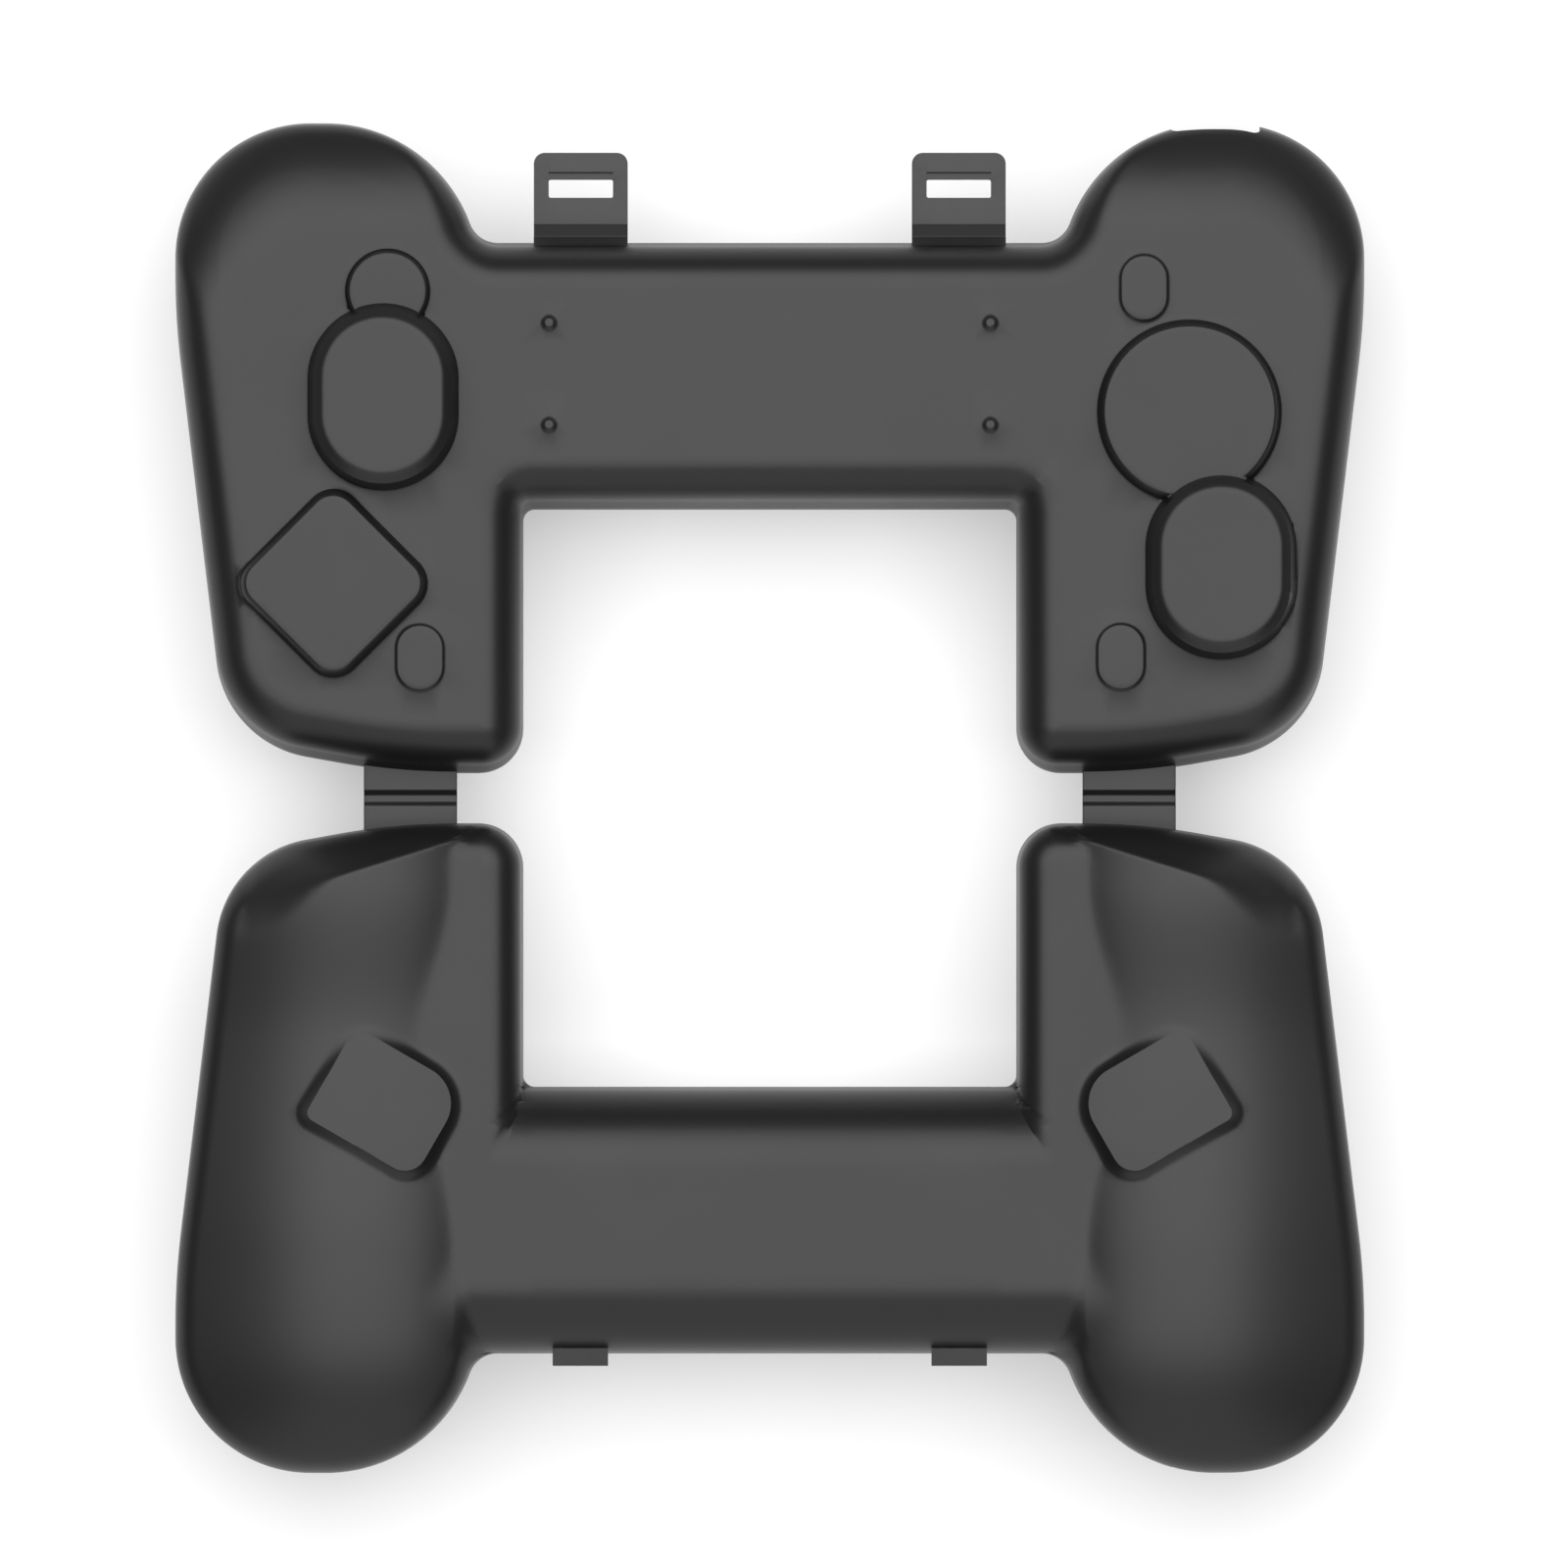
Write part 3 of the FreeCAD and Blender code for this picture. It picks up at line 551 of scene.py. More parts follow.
@dataclass
class CoverOutline:
    """Plan outline that both shells share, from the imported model's box and the photo's proportions."""

    half_width: float
    handle_end: float
    window_side: float = 38.35
    shoulder_gap: float = 3.9
    bar_near: float = 44.9
    bar_far: float = 86.4
    shoulder_flat: float = 19.65
    shoulder_slope: float = 10.2
    widest_back: float = 30.4
    grip_taper: float = 6.84
    handle_inset: float = 7.2
    handle_lean: float = 69.8
    column_radius: float = 6.9
    window_radius: float = 1.8
    mitre: float = 0.27

    def outline(self, lean: WallLean = WallLean()) -> Outline:
        """Build the rounded outline, clockwise.

        Args:
            lean: how far the walls lean.

        Returns:
            The outline.
        """
        side = math.tan(math.radians(self.grip_taper))
        edge = math.tan(math.radians(self.shoulder_slope))
        bend_x = self.window_side + self.shoulder_flat
        root_x = self.window_side + self.handle_inset
        widest_at = self.handle_end - self.widest_back
        outer_x = self.half_width - side * (widest_at - self.shoulder_gap + edge * bend_x)
        outer_x /= 1.0 - side * edge
        outer_y = self.shoulder_gap + edge * (outer_x - bend_x)
        handle_run = (self.handle_end - self.bar_far) / math.tan(math.radians(self.handle_lean))
        right = [
            Corner(root_x, self.bar_far, 4.6),
            Corner(root_x + handle_run, self.handle_end, 23.8),
            Corner(self.half_width, self.handle_end, 21.0),
            Corner(self.half_width, widest_at, 120.0),
            Corner(outer_x, outer_y, 17.0),
            Corner(bend_x, self.shoulder_gap, 100.0),
            Corner(self.window_side, self.shoulder_gap, self.column_radius),
            Corner(self.window_side, self.bar_near, self.window_radius, self.mitre),
        ]
        leans = lean.around()
        left = [replace(c, x=-c.x, lean=leans[k]) for k, c in enumerate(right)]
        right = [replace(c, lean=leans[k + 1]) for k, c in enumerate(right)]
        return Outline(right + left[::-1])


@dataclass
class Guide:
    """Chain of points that a skin's mesh follows."""

    points: np.ndarray
    keep: np.ndarray
    closed: bool = True


@dataclass
class Shell:
    """One moulded shell: outer skin, wall, rim and inner skin, with raised rooms and a cable notch."""

    plan: CoverOutline
    name: str = "shell"
    node: str = ""
    wall: float = 1.5
    lean: WallLean = WallLean()
    rim_round: float = 0.3
    rim_gap: float = 0.02
    ring_insets: tuple[float, ...] = (0.0, 1.0)
    spacing: float = 1.3
    rooms: list[Room | Pad] = field(default_factory=list)
    behind_fold: bool = False
    notch_width: float = 13.7
    notch_height: float = 5.0
    notch_inset: float = 23.15
    notch_radius: float = 1.2
    notch_reach: float = 8.0

    def __post_init__(self) -> None:
        """Keep the outline that the skins share."""
        self.outline = self.plan.outline(self.lean)

    def face_heights(self, x: np.ndarray, y: np.ndarray, inside: np.ndarray, inset: float) -> np.ndarray:
        """Height of the shell's face without its rooms. Each shell says its own."""
        raise NotImplementedError

    def wants_fine(self, x: np.ndarray, y: np.ndarray) -> np.ndarray:
        """Where the face curves and needs the fine grid."""
        return np.ones(len(x), bool)

    def creases(self) -> list[np.ndarray]:
        """Lines along which the face changes its slope."""
        return []

    def skin_heights(self, x: np.ndarray, y: np.ndarray, inset: float) -> np.ndarray:
        """Height of a skin with its rooms.

        Args:
            x: x of each place.
            y: y of each place.
            inset: wall thickness for the inner skin, 0 for the outer one.

        Returns:
            The heights.
        """
        inside = self.outline.inside(x, y)
        heights = self.face_heights(x, y, inside, inset)
        return self.raised(x, y, heights, inset)

    def raised(self, x: np.ndarray, y: np.ndarray, heights: np.ndarray, inset: float) -> np.ndarray:
        """Put the rooms on the face."""
        for room in self.rooms:
            heights = room.heights(heights, room.outline.inside(x, y), inset)
        return heights

    def _guides(self, inset: float) -> list[Guide]:
        """Rings and creases that the skin's mesh follows."""
        guides = []
        for ring_inset in self.ring_insets:
            ring = self.outline.ring(ring_inset + inset)
            guides.append(Guide(ring, np.ones(len(ring), bool)))
        for room in self.rooms:
            for room_inset in room.insets():
                ring = room.outline.ring(room_inset + inset)
                keep = self.outline.inside(ring[:, 0], ring[:, 1]) > inset + 0.05
                for other in room.covered_by:
                    keep &= other.outline.inside(ring[:, 0], ring[:, 1]) - inset < 0.25
                guides.append(Guide(ring, keep))
        for line in self.creases():
            keep = self.outline.inside(line[:, 0], line[:, 1]) > inset + 0.15
            for room in self.rooms:
                keep &= room.outline.inside(line[:, 0], line[:, 1]) < 0.0
            guides.append(Guide(line, keep, closed=False))
        return guides

    def _grid(self, inset: float) -> np.ndarray:
        """Places of the grid inside a skin, clear of the rings."""
        low = self.outline.polyline.min(0)
        high = self.outline.polyline.max(0)
        rows = np.arange(low[1], high[1], self.spacing * 0.87)
        columns = np.arange(low[0], high[0], self.spacing)
        grid_x, grid_y = np.meshgrid(columns, rows)
        grid_x = grid_x + (np.arange(len(rows)) % 2)[:, None] * self.spacing / 2.0
        x, y = grid_x.ravel(), grid_y.ravel()
        keep = self.wants_fine(x, y)
        x, y = x[keep], y[keep]
        inside = self.outline.inside(x, y) - inset
        keep = inside > 0.5 * self.spacing
        for ring_inset in self.ring_insets:
            keep &= np.abs(inside - ring_inset) > 0.4 * self.spacing
        for room in self.rooms:
            into = room.outline.inside(x, y) - inset
            for room_inset in room.insets():
                keep &= np.abs(into - room_inset) > 0.35 * self.spacing
        for line in self.creases():
            keep &= line_distance(x, y, line, False) > 0.3 * self.spacing
        return np.stack([x[keep], y[keep]], 1)

    def _skin(self, skin: Skin) -> tuple[np.ndarray, list[tuple[int, ...]]]:
        """Triangulate one skin in plan and lift it to its heights."""
        inset = 0.0 if skin is Skin.OUTER else self.wall
        points: list[tuple[float, float]] = []
        edges: list[tuple[int, int]] = []
        for guide in self._guides(inset):
            numbers = np.cumsum(guide.keep) - 1 + len(points)
            count = len(guide.points)
            for k in range(count if guide.closed else count - 1):
                after = (k + 1) % count
                if guide.keep[k] and guide.keep[after]:
                    edges.append((int(numbers[k]), int(numbers[after])))
            points.extend(map(tuple, guide.points[guide.keep]))
        points.extend(map(tuple, self._grid(inset)))
        result = delaunay_2d_cdt([Vector(p) for p in points], edges, [], 1, TRIANGULATION_MM)
        flat = np.array([(v.x, v.y) for v in result[0]])
        heights = self.skin_heights(flat[:, 0], flat[:, 1], inset)
        return np.column_stack([flat, heights]), [tuple(f) for f in result[2]]

    def _wall_loops(self, skin: Skin) -> list[np.ndarray]:
        """Rings of the upright wall of a skin, from its upper edge to the rim."""
        inset = 0.0 if skin is Skin.OUTER else self.wall
        upper = self.outline.ring(inset)
        top = self.skin_heights(upper[:, 0], upper[:, 1], inset)
        loops = []
        for share in (1.0, 0.75, 0.5, 0.25, 0.0):
            ring = self.outline.ring(inset, share)
            height = self.rim_round + (top - self.rim_round) * share
            loops.append(np.column_stack([ring, height]))
        inwards = 1.0 if skin is Skin.OUTER else -1.0
        for angle in (30.0, 60.0, 90.0):
            bend = math.radians(angle)
            away = self.rim_round * (1.0 - math.cos(bend))
            low = max(self.rim_round * (1.0 - math.sin(bend)), self.rim_gap)
            moved = self.outline.ring(inset + inwards * away, 0.0)
            loops.append(np.column_stack([moved, np.full(len(moved), low)]))
        return loops

    def build(self) -> bpy.types.Object:
        """Build the shell's closed mesh with its cable notch cut.

        Returns:
            The object.
        """
        parts = MeshParts()
        for skin in Skin:
            points, faces = self._skin(skin)
            parts.add(points, faces)
        outer = self._wall_loops(Skin.OUTER)
        inner = self._wall_loops(Skin.INNER)
        parts.add_loops(outer + inner[::-1])
        piece = parts.build(self.name, self.behind_fold)
        self._cut_notch(piece)
        smooth(piece, 38.0)
        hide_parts(self.node)
        return piece

    def _cut_notch(self, piece: bpy.types.Object) -> None:
        """Cut the cable notch through the end wall of the right handle."""
        middle = self.plan.half_width - self.notch_inset
        work = bmesh.new()
        bmesh.ops.create_cube(work, size=1.0)
        height = self.notch_height + self.notch_reach
        for vert in work.verts:
            vert.co.x = middle + vert.co.x * self.notch_width
            vert.co.y = self.plan.handle_end + vert.co.y * self.notch_reach * 2.0
            vert.co.z = self.notch_height - height / 2.0 + vert.co.z * height
        upper = [e for e in work.edges if all(v.co.z > self.notch_height - 0.01 for v in e.verts)
                 and abs(e.verts[0].co.y - e.verts[1].co.y) > 1.0]
        bmesh.ops.bevel(work, geom=upper, offset=self.notch_radius, segments=6, profile=0.5,
                        affect="EDGES")
        for vert in work.verts:
            vert.co *= MM
            if self.behind_fold:
                vert.co.y = -vert.co.y
        bmesh.ops.recalc_face_normals(work, faces=work.faces)
        mesh = bpy.data.meshes.new(self.name + "_notch")
        work.to_mesh(mesh)
        work.free()
        cut_away(piece, link(self.name + "_notch", mesh))


@dataclass
class FrontShell(Shell):
    """Front shell: a flat face with rooms over the controls and handle ends that fall away."""

    name: str = "front_shell_skin"
    node: str = "front_shell"
    height: float = 12.0
    lean: WallLean = WallLean(far=0.7, shoulder=1.3, near=1.3)
    roll: float = 6.7
    dome_radius: float = 27.0
    dome_reach: float = 25.4
    dome_back: float = 43.0
    dome_side: float = 22.5
    dome_stretch: float = 1.45
    dome_crease: float = 3.0
    tip_round: float = 1.4
    stick_size: tuple[float, float] = (23.4, 29.0)
    cross_size: float = 28.6
    keys_size: float = 23.4
    keys_round: float = 4.6
    disc_size: float = 13.2
    button_size: tuple[float, float] = (7.6, 10.5)
    stud_size: float = 2.4
    stud_at: float = 34.2
    ring_insets: tuple[float, ...] = (0.0, 0.1, 0.39, 0.87, 1.52, 2.32, 3.25, 4.28, 5.37, 6.5, 7.0)

    def __post_init__(self) -> None:
        """Place the rooms from the outline's own lines."""
        super().__post_init__()
        middle = (self.plan.window_side + self.plan.half_width) / 2.0
        near, far = self.plan.bar_near, self.plan.bar_far
        base = self.height
        left_stick = Room(stadium(-(middle - 5.5), near + 17.3, *self.stick_size), base, STICK_ROOM)
        right_stick = Room(stadium(middle + 4.5, near - 8.9, *self.stick_size), base, STICK_ROOM)
        cross = Room(stadium(middle - 0.4, near + 15.0, self.cross_size, self.cross_size), base, KEY_ROOM,
                     covered_by=[right_stick])
        square = turned_box(-(middle + 2.2), near - 11.6, self.keys_size, self.keys_size, 45.0,
                            [self.keys_round] * 4)
        disc = Room(stadium(-(middle - 6.2), far - 7.8, self.disc_size, self.disc_size), base, DISC_ROOM,
                    covered_by=[left_stick])
        self.rooms = [left_stick, right_stick, cross, Room(square, base, KEY_ROOM), disc]
        for x, y in ((-(middle - 11.2), near - 23.1), (middle - 11.0, near - 23.0),
                     (middle - 7.4, far - 7.3)):
            self.rooms.append(Room(stadium(x, y, *self.button_size), base, BUTTON_ROOM))
        for x in (-self.stud_at, self.stud_at):
            for y in (far - 12.7, far - 28.5):
                self.rooms.append(Room(stadium(x, y, self.stud_size, self.stud_size), base, STUD))

    def wants_fine(self, x: np.ndarray, y: np.ndarray) -> np.ndarray:
        """Use the fine grid on the domed handle ends, and every third place elsewhere."""
        dome = y > self.plan.handle_end - 30.0
        wide = (np.round(x / self.spacing * 2.0) % 6 == 0) & (np.round(y / (self.spacing * 0.87)) % 3 == 0)
        return (dome & (np.abs(x) > 44.0)) | wide

    def face_heights(self, x: np.ndarray, y: np.ndarray, inside: np.ndarray, inset: float) -> np.ndarray:
        """Flat face with its rolled edge, and the domed fall of the handle ends."""
        top = self.height - inset
        depth = inside - inset
        rolled = top - quarter_roll(depth, self.roll - inset)
        crease = math.radians(self.dome_crease)
        middle_x = self.plan.half_width - self.dome_side
        middle_y = self.plan.handle_end - self.dome_back
        centre_r = self.dome_reach - self.dome_radius * math.sin(crease)
        centre_z = self.height - self.dome_radius * math.cos(crease)
        aside = np.maximum(np.abs(x) - middle_x, 0.0) * self.dome_stretch
        out = np.hypot(aside, np.maximum(y - middle_y, 0.0))
        radius = self.dome_radius - inset
        reach = np.clip(out - centre_r, 0.0, radius * 0.98)
        domed = centre_z + np.sqrt(radius ** 2 - reach ** 2)
        domed = domed - quarter_roll(depth, max(self.tip_round - inset, 0.3))
        return smooth_min(rolled, np.minimum(domed, top + 2.0), 0.5 if inset == 0 else 0.3)


@dataclass
class RearShell(Shell):
    """Rear shell: rolled bar, flat columns and swelling grips with a hump over the triggers."""

    name: str = "rear_shell_skin"
    node: str = "rear_shell"
    behind_fold: bool = True
    height: float = 14.5
    far_roll: float = 10.7
    near_roll: float = 11.4
    column_roll: float = 5.2
    grip_round: float = 2.8
    trigger_height: float = 18.2
    trigger_at: float = 12.7
    valley_height: float = 16.2
    valley_at: float = 37.4
    palm_height: float = 18.3
    palm_at: float = 70.0
    tip_drop: float = 8.3
    crest_side: float = 27.2
    crown_radius: float = 34.5
    flank_radius: float = 2.0
    flank_at: float = 10.56
    outer_lean: float = 0.52
    outer_bend: float = 15.0
    ridge_at: float = 6.4
    ridge_slope: float = 17.6
    ridge_soft: float = 0.5
    shoulder_lean: float = 36.0
    shoulder_easing: float = 10.0
    pad_size: tuple[float, float] = (23.5, 20.0)
    pad_turn: float = 30.0
    pad_radii: tuple[float, ...] = (5.5, 3.4, 5.0, 8.0)
    pad_inwards: float = 5.7
    pad_from_gap: float = 43.2
    pad_rise: float = 1.0
    pad_limit: float = 18.25
    pad_radius: float = 80.0
    pad_lean: float = 0.3
    pad_starts: float = 33.0
    crease_soft: float = 0.5
    root_soft: float = 3.0
    root_run: float = 14.0
    shoulder_run: float = 22.0
    pad_run: float = 12.0
    least_height: float = 1.2
    spacing: float = 1.05
    ring_insets: tuple[float, ...] = (0.0, 0.06, 0.22, 0.5, 0.9, 1.4, 2.0, 2.7, 3.4, 4.3, 5.3)

    def __post_init__(self) -> None:
        """Place the raised pads of the grips."""
        super().__post_init__()
        self.crest_at = self.plan.half_width - self.crest_side
        x, y = self.crest_at - self.pad_inwards, self.plan.shoulder_gap + self.pad_from_gap
        far_left, far_right, near_right, near_left = self.pad_radii
        right = turned_box(x, y, *self.pad_size, -self.pad_turn, self.pad_radii)
        left = turned_box(-x, y, *self.pad_size, self.pad_turn, [far_right, far_left, near_left, near_right])
        self.rooms += [Pad(right), Pad(left)]

    def wants_fine(self, x: np.ndarray, y: np.ndarray) -> np.ndarray:
        """Use the fine grid everywhere but on the middle of the bar."""
        wide = np.round(x / self.spacing * 2.0) % 6 == 0
        return (np.abs(x) > self.plan.window_side - 2.0) | wide

    def _crest(self, y: np.ndarray) -> np.ndarray:
        """Height of the grip along its crest."""
        hump = self.valley_height + (self.trigger_height - self.valley_height) * ease(
            (self.valley_at - y) / (self.valley_at - self.trigger_at))
        palm = self.valley_height + (self.palm_height - self.valley_height) * ease(
            (y - self.valley_at) / (self.palm_at - self.valley_at))
        past = np.maximum(y - self.palm_at, 0.0) / (self.plan.handle_end - self.palm_at)
        return np.where(y < self.valley_at, hump, palm) - self.tip_drop * past ** 4

    def _crown(self, u: np.ndarray, y: np.ndarray) -> np.ndarray:
        """Height of the grip's crown, falling away on both sides of its crest."""
        across = u - self.crest_at
        flank = np.maximum(self.plan.window_side + self.flank_at - u, 0.0)
        inner = across ** 2 / (2.0 * self.crown_radius) + flank ** 2 / (2.0 * self.flank_radius)
        outer = self.outer_lean * (np.hypot(across, self.outer_bend) - self.outer_bend)
        return self._crest(y) - np.where(across < 0.0, inner, outer)

    def creases(self) -> list[np.ndarray]:
        """Ridges of the humps, feet of the crowns and mitres of the window's corners."""
        start = self.plan.window_side + self.flank_at
        u = np.arange(start - 1.5, self.plan.half_width, 0.9)
        ridge = self.ridge_at + math.tan(math.radians(self.ridge_slope)) * (u - start)
        lines = [np.column_stack([u, ridge + away]) for away in (-1.0, -0.6, -0.25, 0.05, 0.35, 0.75)]
        y = np.arange(self.ridge_at + 2.0, self.plan.bar_far - 3.0, 1.0)
        across = np.linspace(self.plan.window_side + 2.0, self.crest_at - 2.0, 300)
        foot = []
        for place in y:
            crown = self._crown(across, np.full(len(across), place))
            foot.append(across[np.argmax(crown > self.height)])
        lines += [np.column_stack([np.array(foot) + away, y]) for away in (-0.5, -0.2, 0.1, 0.45)]
        window = self.plan.window_side + self.lean.window
        near = self.plan.bar_near + self.lean.near
        dx = np.linspace(0.0, self.column_roll, 9)
        left = self.near_roll - quarter_roll(dx, self.column_roll)
        dy = self.near_roll - np.sqrt(self.near_roll ** 2 - left ** 2)
        lines.append(np.column_stack([window + dx, near + dy]))
        step = np.linspace(0.4, dy[0], 4)
        for edge in (self.plan.window_side, window):
            lines.append(np.column_stack([np.full(4, edge), near + step]))
        return lines + [line * np.array([-1.0, 1.0]) for line in lines]

    def _rolled(self, depth: np.ndarray, roll: float, lean: float, inset: float) -> np.ndarray:
        """Height of a rolled edge that goes on as a leaning wall outside it."""
        wall = (self.height - roll) / lean
        return self.height - inset - quarter_roll(depth - inset, roll - inset) + wall * np.minimum(
            depth - inset, 0.0)

    def _bar(self, x: np.ndarray, y: np.ndarray, inside: np.ndarray, inset: float) -> np.ndarray:
        """Height of the bar and the flat columns with their rolled edges."""
        u = np.abs(x)
        near = self._rolled(y - self.plan.bar_near - self.lean.near, self.near_roll, self.lean.near, inset)
        column = self._rolled(u - self.plan.window_side - self.lean.window, self.column_roll,
                              self.lean.window, inset)
        far_depth = self.plan.bar_far - self.lean.far - y
        far = self.height - inset - quarter_roll(far_depth - inset, self.far_roll - inset)
        shoulder = self.height - inset - quarter_roll(inside - inset, self.column_roll - inset)
        band = np.maximum(near, column)
        band = np.where(y > self.plan.bar_near, band, np.minimum(band, shoulder))
        return np.minimum(band, far) - 3.0 * np.maximum(u - self.crest_at + 3.0, 0.0)

    def raised(self, x: np.ndarray, y: np.ndarray, heights: np.ndarray, inset: float) -> np.ndarray:
        """Put the pads on the grips; their tops follow the crowns more calmly and fade out in front."""
        across = np.abs(x) - self.crest_at
        top = self._crest(y) + self.pad_rise * ease((y - self.pad_starts) / self.pad_run)
        top = smooth_min(top, np.full(len(y), self.pad_limit), 0.6)
        top = top - np.minimum(across, 0.0) ** 2 / (2.0 * self.pad_radius)
        top = top - self.pad_lean * (np.hypot(np.maximum(across, 0.0), self.outer_bend) - self.outer_bend)
        for pad in self.rooms:
            heights = pad.heights(heights, top, pad.outline.inside(x, y), inset)
        return heights

    def _steepened(self, level: Callable[[np.ndarray, np.ndarray], np.ndarray], u: np.ndarray,
                   y: np.ndarray, inset: float) -> np.ndarray:
        """Lower a surface by the wall's thickness measured square to it."""
        here = level(u, y)
        if not inset:
            return here
        step = 0.1
        slope_u = (level(u + step, y) - here) / step
        slope_y = (level(u, y + step) - here) / step
        return here - inset * np.minimum(np.sqrt(1.0 + slope_u ** 2 + slope_y ** 2), 2.5)

    def _shoulder(self, u: np.ndarray, y: np.ndarray) -> np.ndarray:
        """Height of the slanted side in front of the hump's ridge."""
        start = self.plan.window_side + self.flank_at
        ridge = self.ridge_at + math.tan(math.radians(self.ridge_slope)) * (u - start)
        top = np.maximum(self._crown(u, ridge), self.height)
        lean = np.radians(self.shoulder_lean + self.shoulder_easing * ease((u - start) / self.shoulder_run))
        return top + (y - ridge) / np.tan(lean)

    def face_heights(self, x: np.ndarray, y: np.ndarray, inside: np.ndarray, inset: float) -> np.ndarray:
        """Bar, columns and grips, thinned along their slope for the inner skin."""
        u = np.abs(x)
        start = self.plan.window_side + self.flank_at
        base = self._bar(x, y, inside, inset)
        crown = self._steepened(self._crown, u, y, inset)
        crease = self.crease_soft + self.root_soft * ease((y - self.palm_at) / self.root_run)
        joined = -smooth_min(-base, -crown, crease)
        level = np.where(u > self.plan.window_side + 2.0, joined, base)
        soft = self.ridge_soft * (1.0 + 12.0 * ease((u - self.crest_at) / (self.crest_side * 0.5)))
        limited = smooth_min(level, self._steepened(self._shoulder, u, y, inset), soft)
        level = np.where(u > start - 1.5, limited, level)
        share = ease((u - self.plan.window_side - 5.0) / 4.0)
        level = level - share * quarter_roll(inside - inset, max(self.grip_round - inset, 0.8))
        return np.maximum(level, self.least_height - inset * 0.2)


def node_group(name: str, inputs: dict[str, float], outputs: Sequence[str]) -> tuple[
        bpy.types.ShaderNodeTree, bpy.types.Node, bpy.types.Node]:
    """Start a shader node group with float sockets.

    Args:
        name: name of the group.
        inputs: input names with their defaults.
        outputs: output names.

    Returns:
        The group, its input node and its output node.
    """
    group = bpy.data.node_groups.new(name, "ShaderNodeTree")
    for label, value in inputs.items():
        socket = group.interface.new_socket(label, in_out="INPUT", socket_type="NodeSocketFloat")
        socket.default_value = value
    for label in outputs:
        group.interface.new_socket(label, in_out="OUTPUT", socket_type="NodeSocketFloat")
    return group, group.nodes.new("NodeGroupInput"), group.nodes.new("NodeGroupOutput")


def calculate(tree: bpy.types.ShaderNodeTree, operation: str,
              *terms: bpy.types.NodeSocket | float) -> bpy.types.NodeSocket:
    """Add a math node and give its result socket.

    Args:
        tree: the node tree.
        operation: name of the operation.
        terms: a socket or a plain value for each input.

    Returns:
        The socket of the result.
    """
    node = tree.nodes.new("ShaderNodeMath")
    node.operation = operation
    for socket, term in zip(node.inputs, terms):
        if isinstance(term, float):
            socket.default_value = term
        else:
            tree.links.new(term, socket)
    return node.outputs[0]


def noise(tree: bpy.types.ShaderNodeTree, where: bpy.types.NodeSocket, scale: float,
          detail: float) -> bpy.types.NodeSocket:
    """Add a noise texture and give its value socket."""
    texture = tree.nodes.new("ShaderNodeTexNoise")
    texture.inputs["Scale"].default_value = scale
    texture.inputs["Detail"].default_value = detail
    tree.links.new(where, texture.inputs["Vector"])
    return texture.outputs["Fac"]


def mould_grain_group() -> bpy.types.ShaderNodeTree:
    """Fine spark-eroded grain of a moulding: a height, and a slow mottling.

    Returns:
        The group, with inputs Grain and Mottle and outputs Height and Mottling.
    """
    group, enter, leave = node_group("MouldGrain", {"Grain": 1.0, "Mottle": 1.0}, ["Height", "Mottling"])
    place = group.nodes.new("ShaderNodeTexCoord")
    fine = noise(group, place.outputs["Object"], 2600.0, 2.0)
    coarse = noise(group, place.outputs["Object"], 900.0, 3.0)
    slow = noise(group, place.outputs["Object"], 55.0, 4.0)
    mixed = calculate(group, "MULTIPLY_ADD", fine, 0.6, coarse)
    height = calculate(group, "MULTIPLY", mixed, enter.outputs["Grain"])
    group.links.new(height, leave.inputs["Height"])
    spread = group.nodes.new("ShaderNodeMapRange")
    spread.inputs["From Min"].default_value = 0.35
    spread.inputs["From Max"].default_value = 0.65
    group.links.new(slow, spread.inputs["Value"])
    mottle = calculate(group, "MULTIPLY", spread.outputs["Result"], enter.outputs["Mottle"])
    group.links.new(mottle, leave.inputs["Mottling"])
    return group


def painted_edge_highlight_group() -> bpy.types.ShaderNodeTree:
    """Mask of the convex edges that are painted paler as a painted highlight, broken up by noise.

    Returns:
        The group, with the input Amount and the output Mask.
    """
    group, enter, leave = node_group("PaintedEdgeHighlight", {"Amount": 1.0}, ["Mask"])
    shape = group.nodes.new("ShaderNodeNewGeometry")
    # Pointiness picks the convex edges that get the painted highlight.
    edges = group.nodes.new("ShaderNodeMapRange")
    edges.inputs["From Min"].default_value = 0.515
    edges.inputs["From Max"].default_value = 0.60
    group.links.new(shape.outputs["Pointiness"], edges.inputs["Value"])
    place = group.nodes.new("ShaderNodeTexCoord")
    broken = noise(group, place.outputs["Object"], 420.0, 4.0)
    times = calculate(group, "MULTIPLY", edges.outputs["Result"], broken)
    mask = calculate(group, "MULTIPLY", times, enter.outputs["Amount"])
    group.links.new(mask, leave.inputs["Mask"])
    return group


